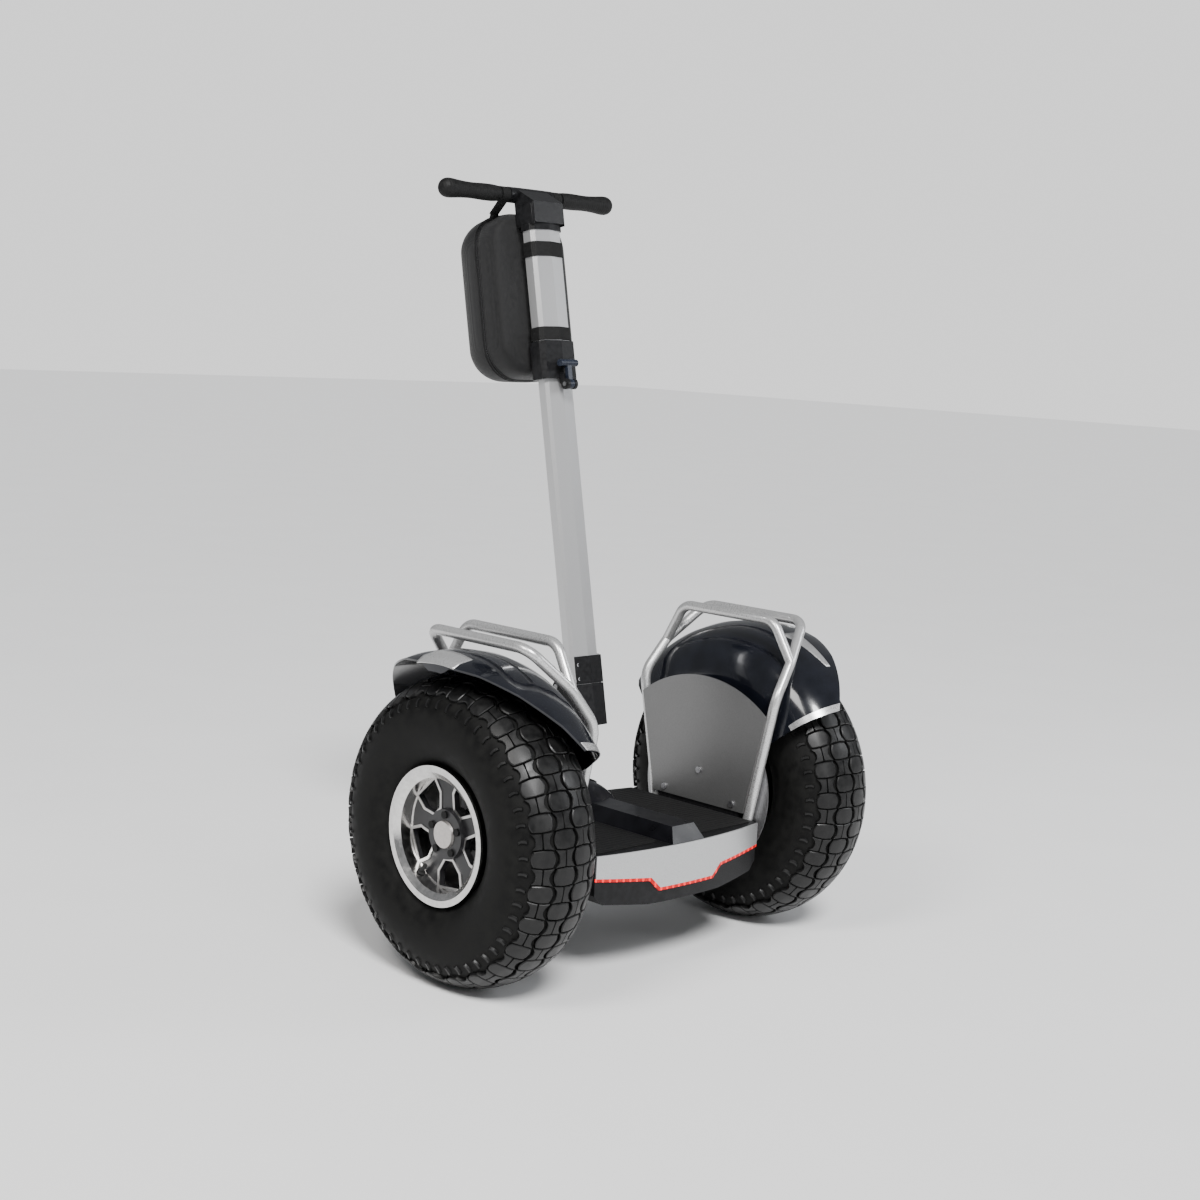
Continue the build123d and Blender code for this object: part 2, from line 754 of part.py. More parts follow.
# Bright edge strips, front and rear, with a deeper middle
for end, strip_name in ((-1, "rear_strip"), (1, "front_strip")):
    with BuildPart() as edge_strip:
        with BuildSketch(Plane.XY.offset(strip_middle_bottom)):
            add(edge_band(end, 0, strip_thickness))
        extrude(amount=strip_top - strip_middle_bottom)
        with BuildSketch(front_view):
            with BuildLine():
                top_corners = [(deck_half_width, strip_top), (-deck_half_width, strip_top)]
                Polyline(strip_lower_edge(0) + top_corners, close=True)
            make_face()
        extrude(amount=-view_depth, mode=Mode.INTERSECT, both=True)
        if end == 1:
            with BuildSketch(Plane.XZ.offset(-deck_middle_y)):
                with Locations((port_x, port_z)):
                    Circle(button_radius + running_clearance)
                with Locations((-port_x, port_z)):
                    Circle(port_radius)
            extrude(amount=30, mode=Mode.SUBTRACT)
    edge_strip.part.label = strip_name
    export_step(edge_strip.part, f"parts/{strip_name}.step")

# Light bar that follows the lower edge of the rear strip
with BuildPart() as rear_light:
    with BuildSketch(Plane.XY.offset(strip_middle_bottom - light_height - 1)):
        add(edge_band(-1, light_recess, strip_thickness))
    extrude(amount=strip_top - strip_middle_bottom)
    with BuildSketch(front_view):
        with BuildLine():
            lowered = list(reversed(strip_lower_edge(light_height)))
            Polyline(strip_lower_edge(0) + lowered, close=True)
        make_face()
    extrude(amount=-view_depth, mode=Mode.INTERSECT, both=True)
rear_light.part.label = "rear_light"
export_step(rear_light.part, "parts/rear_light.step")

# Battery pack on the tub floor behind the motors
with BuildPart() as battery_pack:
    with BuildSketch(Plane.XY.offset(housing_side_bottom + housing_wall + 2)):
        with Locations((0, battery_y)):
            RectangleRounded(battery_length, battery_width, 8)
    extrude(amount=battery_height)
battery_pack.part.label = "battery_pack"
export_step(battery_pack.part, "parts/battery_pack.step")

# Motor controller in a flat finned box, low at the front
with BuildPart() as controller:
    with BuildSketch(Plane.XY.offset(housing_bottom + housing_wall)):
        with Locations((0, controller_y)):
            RectangleRounded(controller_length, controller_width, 5)
    extrude(amount=controller_base)
    with BuildSketch(Plane.XY.offset(housing_bottom + housing_wall + controller_base)):
        with Locations((0, controller_y)):
            with GridLocations(controller_length / 10, 0, 9, 1):
                Rectangle(4, controller_width - 10)
    extrude(amount=controller_fin_height)
controller.part.label = "controller"
export_step(controller.part, "parts/controller.step")

# Charging socket in the front strip's left half, with its round flange outside
with BuildPart() as charge_port:
    with BuildSketch(Plane.XZ.offset(-deck_middle_y + 1)):
        with Locations((-port_x, port_z)):
            Circle(port_radius)
            Circle(6, mode=Mode.SUBTRACT)
    extrude(amount=16)
charge_port.part.label = "charge_port"
export_step(charge_port.part, "parts/charge_port.step")

# Power button that slides in the front strip's right half
with BuildPart() as power_button:
    with BuildSketch(Plane.XZ.offset(-deck_middle_y + 18)):
        with Locations((port_x, port_z)):
            Circle(button_radius)
    extrude(amount=-17)
power_button.part.label = "power_button"
export_step(power_button.part, "parts/power_button.step")

# ---- side plates, guards and fenders -----------------------------------------------
with BuildPart() as plate_screws:
    for side, side_name in sides:
        screw_places = [
            (-plate_screw_y, plate_screw_z - axle_height),
            (plate_screw_y, plate_screw_z - axle_height),
            (0, plate_top_screw_z - axle_height),
        ]
        with BuildSketch(wheel_plane(side, plate_x)):
            with Locations(screw_places):
                Circle(plate_screw_head_radius)
        extrude(amount=-3)
        with BuildSketch(wheel_plane(side, plate_x)):
            with Locations(screw_places):
                Circle(3)
        extrude(amount=plate_thickness)
plate_screws.part.label = "plate_screws"
export_step(plate_screws.part, "parts/plate_screws.step")

fender_outline = [
    (256, 232),
    (257, 248),
    (264, 266),
    (276, 281),
    (294, 294),
    (320, 304),
    (355, 310),
    (400, 309),
    (430, 303),
    (444, 294),
    (446, 280),
]

for side, side_name in sides:
    # Sheet metal side plate with a curved top edge
    with BuildPart() as side_plate:
        with BuildSketch(wheel_plane(side, plate_x)):
            shoulder = plate_shoulder_z - axle_height
            foot = plate_bottom - axle_height
            crown = plate_arc_z + plate_arc_radius - axle_height
            with BuildLine():
                Line((-plate_bottom_half_width, foot), (plate_bottom_half_width, foot))
                Line((plate_bottom_half_width, foot), (plate_top_half_width, shoulder))
                ThreePointArc(
                    (plate_top_half_width, shoulder), (0, crown), (-plate_top_half_width, shoulder)
                )
                Line((-plate_top_half_width, shoulder), (-plate_bottom_half_width, foot))
            make_face()
            with Locations(
                (-plate_screw_y, plate_screw_z - axle_height),
                (plate_screw_y, plate_screw_z - axle_height),
                (0, plate_top_screw_z - axle_height),
            ):
                Circle(3, mode=Mode.SUBTRACT)
        extrude(amount=plate_thickness)
    side_plate.part.label = f"side_plate_{side_name}"
    export_step(side_plate.part, f"parts/side_plate_{side_name}.step")

    # Outer guard: one bent tube from foot to foot
    leg_rake = (guard_kink[1] - guard_leg_y) / (guard_kink[2] - guard_foot_z)
    half_path = [
        (guard_leg_x, guard_leg_y - 6 * leg_rake, guard_foot_z - 6),
        guard_kink,
        guard_branch,
        guard_corner,
    ]
    guard_points = [(side * x, -y, z) for x, y, z in half_path]
    guard_points += [(side * x, y, z) for x, y, z in reversed(half_path)]
    guard_bends = [60, 60, 36, 36, 60, 60]
    with BuildPart() as guard:
        with BuildLine() as guard_line:
            FilletPolyline(guard_points, radius=guard_bends)
        with BuildSketch(Plane(guard_line.line @ 0, z_dir=guard_line.line % 0)):
            Circle(guard_radius)
            Circle(guard_radius - guard_wall, mode=Mode.SUBTRACT)
        sweep()
        split(bisect_by=Plane.XY.offset(guard_foot_z), keep=Keep.TOP)
    guard.part.label = f"guard_{side_name}"
    export_step(guard.part, f"parts/guard_{side_name}.step")

    # Filled copy of the outer guard, used to cope the hoop's ends
    with BuildPart() as guard_core:
        with BuildLine() as core_line:
            FilletPolyline(guard_points, radius=guard_bends)
        with BuildSketch(Plane(core_line.line @ 0, z_dir=core_line.line % 0)):
            Circle(guard_radius)
        sweep()

    # Inner hoop welded to the outer guard at the two branches
    branch_x, branch_y, branch_z = guard_branch
    corner_x, corner_y, corner_z = hoop_corner
    hoop_points = [
        (side * branch_x, -branch_y, branch_z),
        (side * corner_x, -corner_y, corner_z),
        (side * corner_x, corner_y, corner_z),
        (side * branch_x, branch_y, branch_z),
    ]
    with BuildPart() as guard_hoop:
        with BuildLine() as hoop_line:
            FilletPolyline(hoop_points, radius=36)
        with BuildSketch(Plane(hoop_line.line @ 0, z_dir=hoop_line.line % 0)):
            Circle(guard_radius)
            Circle(guard_radius - guard_wall, mode=Mode.SUBTRACT)
        sweep()
        add(guard_core.part, mode=Mode.SUBTRACT)
    guard_hoop.part.label = f"guard_hoop_{side_name}"
    export_step(guard_hoop.part, f"parts/guard_hoop_{side_name}.step")

    # Fender: curved shell round the tyre, narrowing toward both ends
    with BuildPart() as fender:
        with BuildSketch(radial_plane(side, fender_half_angle)):
            with BuildLine():
                outer = Spline(fender_outline)
                inner = Spline(shifted(fender_outline, -fender_wall))
                Line(outer @ 0, inner @ 0)
                Line(outer @ 1, inner @ 1)
            make_face()
        revolve(axis=axle_line, revolution_arc=2 * fender_half_angle)
        with BuildSketch(Plane.XY.offset(axle_height)):
            with Locations((side * (fender_outer_x - fender_planform_radius), 0)):
                Circle(fender_planform_radius)
        extrude(amount=tyre_radius + 100, mode=Mode.INTERSECT)
        # Skirt that steps inboard and reaches down to the dust shield
        skirt_x = shield_x + shield_thickness
        rim_x, rim_r = fender_outline[0]
        with BuildSketch(radial_plane(side, fender_skirt_half_angle)):
            with BuildLine():
                Polyline(
                    (skirt_x, shield_radius - 25),
                    (skirt_x + fender_wall, shield_radius - 25),
                    (skirt_x + fender_wall, rim_r - 1),
                    (rim_x + fender_wall, rim_r - 1),
                    (rim_x + fender_wall, rim_r + 3),
                    (rim_x, rim_r + 3),
                    (skirt_x, rim_r + 2),
                    close=True,
                )
            make_face()
        revolve(axis=axle_line, revolution_arc=2 * fender_skirt_half_angle)
    fender.part.label = f"fender_{side_name}"
    export_step(fender.part, f"parts/fender_{side_name}.step")

# Bright trims along the fenders' rear lower edges
with BuildPart() as fender_trims:
    for side, side_name in sides:
        with BuildSketch(radial_plane(side, -fender_half_angle)):
            with BuildLine():
                outer = Spline(shifted(fender_outline[:8], 1.6))
                inner = Spline(shifted(fender_outline[:8], 0.1))
                Line(outer @ 0, inner @ 0)
                Line(outer @ 1, inner @ 1)
            make_face()
        revolve(axis=axle_line, revolution_arc=-degrees(trim_width / tyre_radius))
    with BuildSketch(Plane.XY.offset(axle_height)):
        for side, side_name in sides:
            with Locations((side * (fender_outer_x - fender_planform_radius), 0)):
                Circle(fender_planform_radius)
    extrude(amount=tyre_radius + 100, mode=Mode.INTERSECT)
fender_trims.part.label = "fender_trims"
export_step(fender_trims.part, "parts/fender_trims.step")

# Dust shield discs between the gear cases and the wheels
with BuildPart() as hub_shields:
    for side, side_name in sides:
        with BuildSketch(wheel_plane(side, shield_x)):
            Circle(shield_radius)
            Circle(snout_radius, mode=Mode.SUBTRACT)
        extrude(amount=shield_thickness)
hub_shields.part.label = "hub_shields"
export_step(hub_shields.part, "parts/hub_shields.step")

# ---- lean pivot and neck -----------------------------------------------------------
bearing_rear_y = neck_barrel_rear_y - journal_length
with BuildPart() as lean_bearings:
    for start_y in (bearing_rear_y, neck_barrel_front_y + 1):
        with BuildSketch(Plane.XZ.offset(-start_y)):
            with Locations((0, (lean_pivot_z + controller_top) / 2)):
                Rectangle(44, lean_pivot_z - controller_top)
            with Locations((0, lean_pivot_z)):
                Circle(22)
            with Locations((0, lean_pivot_z)):
                Circle(journal_radius + running_clearance, mode=Mode.SUBTRACT)
        extrude(amount=-(journal_length - 1))
lean_bearings.part.label = "lean_bearings"
export_step(lean_bearings.part, "parts/lean_bearings.step")

# Neck: barrel with two journals, rising forward of the stem to the fold block
block_bottom = stem_at(-fold_block_height)
neck_top_rear = block_bottom.from_local_coords(Vector(0, -2, 0))
neck_top_front = block_bottom.from_local_coords(Vector(0, 24, 0))
with BuildPart() as neck:
    with BuildSketch(Plane.YZ.offset(-neck_half_width)):
        with BuildLine():
            Polyline(
                (neck_barrel_rear_y + 7, lean_pivot_z),
                (neck_barrel_front_y - 2, lean_pivot_z),
                (neck_front_y, dome_top_z),
                (neck_top_front.Y, neck_top_front.Z),
                (neck_top_rear.Y, neck_top_rear.Z),
                (neck_rear_y, dome_top_z),
                close=True,
            )
        make_face()
    extrude(amount=2 * neck_half_width)
    with BuildSketch(Plane.XZ.offset(-neck_barrel_rear_y)):
        with Locations((0, lean_pivot_z)):
            Circle(neck_barrel_radius)
    extrude(amount=-(neck_barrel_front_y - neck_barrel_rear_y))
    with BuildSketch(Plane.XZ.offset(-bearing_rear_y)):
        with Locations((0, lean_pivot_z)):
            Circle(journal_radius)
    extrude(amount=-(neck_barrel_front_y + journal_length - bearing_rear_y))
neck.part.label = "neck"
export_step(neck.part, "parts/neck.step")

# Round cover that slides over the dome's slot as the neck leans
with BuildPart() as neck_cover:
    with Locations((0, dome_y, lean_pivot_z)):
        Sphere(dome_radius + cover_gap + cover_thickness)
        Sphere(dome_radius + cover_gap, mode=Mode.SUBTRACT)
    with BuildSketch(Plane.XY.offset(deck_top)):
        with Locations((0, (neck_rear_y + neck_front_y) / 2)):
            cover_half_width = slot_half_width + dome_radius * sin(radians(lean_limit))
            RectangleRounded(2 * cover_half_width, neck_front_y - neck_rear_y + 34, 20)
    extrude(amount=dome_radius, mode=Mode.INTERSECT)
    add(neck.part, mode=Mode.SUBTRACT)
neck_cover.part.label = "neck_cover"
export_step(neck_cover.part, "parts/neck_cover.step")

# ---- fold joint --------------------------------------------------------------------
latch_plane = Plane(
    origin=stem_at(latch_t).origin, x_dir=(-1, 0, 0), z_dir=stem_plane.y_dir
)
knuckle_spans = (
    (-knuckle_outer_x, knuckle_outer_x - knuckle_inner_x - knuckle_gap),
    (knuckle_inner_x + knuckle_gap, knuckle_outer_x - knuckle_inner_x - knuckle_gap),
)
with BuildPart() as fold_base:
    with BuildSketch(stem_at(-fold_block_height)):
        add(ridged_face(fold_block_cover))
    extrude(amount=fold_block_height)
    # Two hinge lugs at the front
    for start_x, length in knuckle_spans:
        with BuildSketch(stem_side(start_x)):
            with BuildLine():
                Polyline(
                    (14, -50),
                    (14, -3),
                    (fold_pin_y, -3),
                    (fold_pin_y + knuckle_radius * cos(radians(20)), -knuckle_radius * sin(radians(20))),
                    close=True,
                )
            make_face()
            with Locations((fold_pin_y, 0)):
                Circle(knuckle_radius)
        extrude(amount=length)
        with BuildSketch(stem_side(start_x)):
            with Locations((fold_pin_y, 0)):
                Circle(fold_pin_radius)
        extrude(amount=length, mode=Mode.SUBTRACT)
    # Wiring hollow from the top and the boss that guides the fold latch
    with BuildSketch(stem_at(0)):
        Rectangle(36, 16)
    extrude(amount=-fold_hollow_depth, mode=Mode.SUBTRACT)
    with BuildSketch(latch_plane):
        Circle(9)
    extrude(amount=latch_boss_end_y)
    with BuildSketch(latch_plane.offset(10)):
        Circle(4 + running_clearance)
    extrude(amount=latch_boss_end_y - 10, mode=Mode.SUBTRACT)
fold_base.part.label = "fold_base"
export_step(fold_base.part, "parts/fold_base.step")

# Fold hinge pin, held in the two outer lugs
with BuildPart() as fold_pin:
    with BuildSketch(stem_side(-knuckle_outer_x - 2)):
        with Locations((fold_pin_y, 0)):
            Circle(fold_pin_radius)
    extrude(amount=2 * knuckle_outer_x + 4)
fold_pin.part.label = "fold_pin"
export_step(fold_pin.part, "parts/fold_pin.step")

# Pull knob of the fold latch, sliding outward from its boss
with BuildPart() as fold_latch:
    with BuildSketch(latch_plane.offset(12)):
        Circle(4)
    extrude(amount=latch_boss_end_y + 1 - 12)
    with BuildSketch(latch_plane.offset(latch_boss_end_y + 0.5)):
        Circle(11)
    extrude(amount=10)
    fillet(fold_latch.edges().group_by(Axis.Y)[-1], 2)
fold_latch.part.label = "fold_latch"
export_step(fold_latch.part, "parts/fold_latch.step")

# Sleeve that holds the tube's foot, with the middle hinge lug
with BuildPart() as fold_sleeve:
    with BuildSketch(stem_at(fold_gap)):
        add(ridged_face(fold_sleeve_cover))
    extrude(amount=fold_sleeve_height)
    with BuildSketch(stem_side(-knuckle_inner_x)):
        with BuildLine():
            Polyline(
                (14, 48),
                (14, 3),
                (fold_pin_y, 3),
                (fold_pin_y + knuckle_radius * cos(radians(20)), knuckle_radius * sin(radians(20))),
                close=True,
            )
        make_face()
        with Locations((fold_pin_y, 0)):
            Circle(knuckle_radius)
    extrude(amount=2 * knuckle_inner_x)
    with BuildSketch(stem_side(-knuckle_inner_x)):
        with Locations((fold_pin_y, 0)):
            Circle(fold_pin_radius + running_clearance)
    extrude(amount=2 * knuckle_inner_x, mode=Mode.SUBTRACT)
    with BuildSketch(stem_at(fold_gap + 8)):
        add(ridged_face())
    extrude(amount=fold_sleeve_height, mode=Mode.SUBTRACT)
fold_sleeve.part.label = "fold_sleeve"
export_step(fold_sleeve.part, "parts/fold_sleeve.step")

# Dark cover plate wrapped round the sleeve's rear and right faces
with BuildPart() as fold_cover:
    with BuildSketch(stem_at(fold_gap + 1)):
        add(ridged_face(fold_block_cover))
        add(ridged_face(fold_sleeve_cover), mode=Mode.SUBTRACT)
        with Locations((tube_half_width - 32, -30)):
            Rectangle(2 * tube_half_width, 60 - 2 * 4, mode=Mode.INTERSECT)
    extrude(amount=fold_sleeve_height - 3)
fold_cover.part.label = "fold_cover"
export_step(fold_cover.part, "parts/fold_cover.step")

# ---- stem tubes and clamp ----------------------------------------------------------
upper_inner_cover = slide_gap
upper_outer_cover = slide_gap + tube_wall
with BuildPart() as lower_tube:
    with BuildSketch(stem_at(fold_gap + 8)):
        add(ridged_face())
        add(ridged_face(-tube_wall), mode=Mode.SUBTRACT)
    extrude(amount=lower_tube_top - fold_gap - 8)
lower_tube.part.label = "lower_tube"
export_step(lower_tube.part, "parts/lower_tube.step")

with BuildPart() as upper_tube:
    with BuildSketch(stem_at(upper_tube_bottom)):
        add(ridged_face(upper_outer_cover))
        add(ridged_face(upper_inner_cover), mode=Mode.SUBTRACT)
    extrude(amount=upper_tube_top - upper_tube_bottom)
upper_tube.part.label = "upper_tube"
export_step(upper_tube.part, "parts/upper_tube.step")

# Clamp collar on the upper tube's lower end, with two eyes for the lever at the rear
with BuildPart() as clamp_collar:
    with BuildSketch(stem_at(collar_bottom)):
        add(ridged_face(collar_cover))
    extrude(amount=collar_top - collar_bottom)
    for start_x, length in clamp_eye_spans:
        with BuildSketch(stem_side(start_x)):
            with Locations((clamp_pin_y, clamp_pin_t)):
                Circle(clamp_eye_radius)
            with BuildLine():
                Polyline(
                    (clamp_pin_y + 1, clamp_pin_t - 8),
                    (-24.5, clamp_pin_t + 4),
                    (-24.5, collar_bottom + 1),
                    (-18, collar_bottom + 1),
                    (-18, collar_bottom + 14),
                    (clamp_pin_y + 4, collar_bottom + 8),
                    close=True,
                )
            make_face()
        extrude(amount=length)
        with BuildSketch(stem_side(start_x)):
            with Locations((clamp_pin_y, clamp_pin_t)):
                Circle(clamp_pin_radius)
        extrude(amount=length, mode=Mode.SUBTRACT)
    with BuildSketch(stem_at(collar_bottom)):
        add(ridged_face(2 * slide_gap))
    extrude(amount=upper_tube_bottom - collar_bottom, mode=Mode.SUBTRACT)
    with BuildSketch(stem_at(upper_tube_bottom)):
        add(ridged_face(upper_outer_cover))
    extrude(amount=collar_top - upper_tube_bottom, mode=Mode.SUBTRACT)
clamp_collar.part.label = "clamp_collar"
export_step(clamp_collar.part, "parts/clamp_collar.step")

with BuildPart() as clamp_pin:
    with BuildSketch(stem_side(clamp_eye_spans[0][0] - 2)):
        with Locations((clamp_pin_y, clamp_pin_t)):
            Circle(clamp_pin_radius)
    extrude(amount=sum(clamp_eye_spans[1]) - clamp_eye_spans[0][0] + 4)
clamp_pin.part.label = "clamp_pin"
export_step(clamp_pin.part, "parts/clamp_pin.step")

# Cam lever between the eyes, ending in a crosswise handle
lever_start_x = sum(clamp_eye_spans[0]) + clamp_side_play
lever_end_x = clamp_eye_spans[1][0] - clamp_side_play
with BuildPart() as clamp_lever:
    with BuildSketch(stem_side(lever_start_x)):
        with Locations((clamp_pin_y, clamp_pin_t)):
            Circle(clamp_eye_radius - 1)
    extrude(amount=lever_end_x - lever_start_x)
    with BuildSketch(stem_side(-clamp_arm_width / 2)):
        with Locations((clamp_pin_y, (clamp_pin_t + clamp_handle_t) / 2)):
            Rectangle(clamp_arm_depth, clamp_handle_t - clamp_pin_t)
    extrude(amount=clamp_arm_width)
    with BuildSketch(stem_side(-clamp_handle_half_length)):
        with Locations((clamp_pin_y, clamp_handle_t)):
            Circle(clamp_handle_radius)
    extrude(amount=2 * clamp_handle_half_length)
    with BuildSketch(stem_side(lever_start_x)):
        with Locations((clamp_pin_y, clamp_pin_t)):
            Circle(clamp_pin_radius + running_clearance)
    extrude(amount=lever_end_x - lever_start_x, mode=Mode.SUBTRACT)
clamp_lever.part.label = "clamp_lever"
export_step(clamp_lever.part, "parts/clamp_lever.step")

# ---- handlebar ---------------------------------------------------------------------
with BuildPart() as head_block:
    with BuildSketch(stem_side(-head_half_width)):
        with BuildLine():
            Polyline(
                (-head_depth, head_bottom_t),
                (-head_depth, head_shoulder_t),
                (-20, head_shoulder_t + 4),
                (bar_y - 3, bar_t + head_barrel_radius),
                (bar_y + head_barrel_radius, bar_t),
                (bar_y, bar_t - head_barrel_radius),
                (head_depth, head_shoulder_t),
                (head_depth, head_bottom_t),
                close=True,
            )
        make_face()
    extrude(amount=2 * head_half_width)
    with BuildSketch(stem_side(-head_barrel_half_length)):
        with Locations((bar_y, bar_t)):
            Circle(head_barrel_radius)
    extrude(amount=2 * head_barrel_half_length)
    with BuildSketch(stem_at(head_bottom_t)):
        Rectangle(2 * head_barrel_half_length, 2 * head_depth)
    extrude(amount=head_foot_height, mode=Mode.SUBTRACT)
    with BuildSketch(stem_at(head_bottom_t)):
        add(ridged_face(upper_outer_cover + head_foot_cover))
    extrude(amount=head_foot_height)
    with BuildSketch(stem_at(head_bottom_t)):
        add(ridged_face(upper_outer_cover))
    extrude(amount=upper_tube_top - head_bottom_t, mode=Mode.SUBTRACT)
    with BuildSketch(stem_side(-head_barrel_half_length)):
        with Locations((bar_y, bar_t)):
            Circle(bar_radius)
    extrude(amount=2 * head_barrel_half_length, mode=Mode.SUBTRACT)
head_block.part.label = "head_block"
export_step(head_block.part, "parts/head_block.step")

with BuildPart() as handlebar:
    with BuildSketch(stem_side(-bar_half_length)):
        with Locations((bar_y, bar_t)):
            Circle(bar_radius)
            Circle(bar_radius - 2, mode=Mode.SUBTRACT)
    extrude(amount=2 * bar_half_length)
handlebar.part.label = "handlebar"
export_step(handlebar.part, "parts/handlebar.step")

# Closed-end rubber grips, thicker toward the ends
bar_line = Axis(stem_side(0).from_local_coords(Vector(bar_y, bar_t, 0)), (1, 0, 0))
bar_plane = Plane(origin=bar_line.position, x_dir=(1, 0, 0), z_dir=stem_plane.z_dir * -1)
with BuildPart() as grips:
    for side, side_name in sides:
        with BuildSketch(bar_plane):
            with BuildLine():
                upper = Spline(
                    (side * grip_start_x, 14),
                    (side * (grip_start_x + 22), 15.5),
                    (side * (grip_start_x + 65), 14.5),
                    (side * (grip_start_x + 105), grip_end_radius),
                    (side * (grip_end_x - 6), grip_end_radius - 2),
                    (side * grip_end_x, grip_end_radius - 9),
                )
                Polyline(
                    upper @ 1,
                    (side * grip_end_x, 0),
                    (side * bar_half_length, 0),
                    (side * bar_half_length, bar_radius),
                    (side * grip_start_x, bar_radius),
                    upper @ 0,
                )
            make_face()
        revolve(axis=bar_line)
grips.part.label = "grips"
export_step(grips.part, "parts/grips.step")

# ---- bag ---------------------------------------------------------------------------
bag_middle_t = (bag_bottom_t + bag_top_t) / 2
bag_height = bag_top_t - bag_bottom_t


def bag_plane(y):
    """Plane facing forward at distance y in front of the stem, its y running up the stem."""
    origin = stem_plane.origin + stem_plane.y_dir * y + stem_plane.z_dir * bag_middle_t
    return Plane(origin=origin, x_dir=(-1, 0, 0), z_dir=stem_plane.y_dir)


def bag_body(inset):
    """Rounded bag block shrunk by inset on every side."""
    with BuildPart() as body:
        with BuildSketch(bag_plane(bag_back_y + inset)):
            RectangleRounded(
                2 * (bag_half_width - inset), bag_height - 2 * inset, bag_corner_radius - inset
            )
        extrude(amount=bag_front_y - bag_back_y - 2 * inset)
        front_edges = body.faces().sort_by(Axis(bag_plane(0).origin, stem_plane.y_dir))[-1].edges()
        fillet(front_edges, bag_front_rounding - inset)
        back_edges = body.faces().sort_by(Axis(bag_plane(0).origin, stem_plane.y_dir))[0].edges()
        fillet(back_edges, bag_back_rounding - inset)
    return body.part


bag_outside = bag_body(0)
bag_inside = bag_body(bag_wall)
with BuildPart() as bag_shell:
    add(bag_outside)
    add(bag_inside, mode=Mode.SUBTRACT)
    with BuildSketch(bag_plane(bag_seam_y)):
        Rectangle(1000, 1000)
    extrude(amount=-200, mode=Mode.INTERSECT)
bag_shell.part.label = "bag_shell"
export_step(bag_shell.part, "parts/bag_shell.step")

with BuildPart() as bag_lid:
    add(bag_outside)
    add(bag_inside, mode=Mode.SUBTRACT)
    with BuildSketch(bag_plane(bag_seam_y + bag_seam_gap)):
        Rectangle(1000, 1000)
    extrude(amount=200, mode=Mode.INTERSECT)
bag_lid.part.label = "bag_lid"
export_step(bag_lid.part, "parts/bag_lid.step")

# Two straps round the upper tube and two loops round the handlebar
with BuildPart() as bag_straps:
    for start_t, length in (lower_strap, upper_strap):
        with BuildSketch(stem_at(start_t)):
            add(ridged_face(upper_outer_cover + strap_thickness))
            add(ridged_face(upper_outer_cover), mode=Mode.SUBTRACT)
        extrude(amount=length)
    for side, side_name in sides:
        with BuildSketch(stem_side(side * loop_x - loop_half_width)):
            with Locations((bar_y, bar_t)):
                Circle(bar_radius + loop_thickness)
            with BuildLine():
                Polyline(
                    (bar_y - 3, bar_t - 12),
                    (bar_y + 26, bag_top_t - 3),
                    (bar_y + 32, bag_top_t - 3),
                    (bar_y + 5, bar_t - 12),
                    close=True,
                )
            make_face()
            with Locations((bar_y, bar_t)):
                Circle(bar_radius, mode=Mode.SUBTRACT)
        extrude(amount=2 * loop_half_width)
    add(bag_outside, mode=Mode.SUBTRACT)
bag_straps.part.label = "bag_straps"
export_step(bag_straps.part, "parts/bag_straps.step")

# ---- parking stand -----------------------------------------------------------------
stand_bottom = stand_tube_radius
stand_leg_x = stand_half_width
stand_points = [
    (-stand_leg_x, stand_pivot_y, stand_pivot_z),
    (-stand_leg_x, stand_foot_y, stand_bottom),
    (stand_leg_x, stand_foot_y, stand_bottom),
    (stand_leg_x, stand_pivot_y, stand_pivot_z),
]
with BuildPart() as parking_stand:
    with BuildLine() as stand_line:
        FilletPolyline(stand_points, radius=stand_bend_radius)
    with BuildSketch(Plane(stand_line.line @ 0, z_dir=stand_line.line % 0)):
        Circle(stand_tube_radius)
    sweep()
    # Flattened tops with pivot pins that turn in the housing lugs
    for top_x in (-stand_leg_x, stand_leg_x):
        with BuildSketch(Plane.YZ.offset(top_x - 5)):
            with Locations((stand_pivot_y, stand_pivot_z)):
                Circle(stand_lug_radius - 0.5)
        extrude(amount=10)
    pin_length = stand_lug_offset + stand_lug_width
    for pin_x in (-stand_leg_x, stand_leg_x - pin_length):
        with BuildSketch(Plane.YZ.offset(pin_x)):
            with Locations((stand_pivot_y, stand_pivot_z)):
                Circle(stand_pin_radius)
        extrude(amount=pin_length)
parking_stand.part.label = "parking_stand"
export_step(parking_stand.part, "parts/parking_stand.step")
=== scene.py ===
from math import atan2, cos, pi, radians, sin, sqrt

import bpy
from mathutils import Matrix, Vector


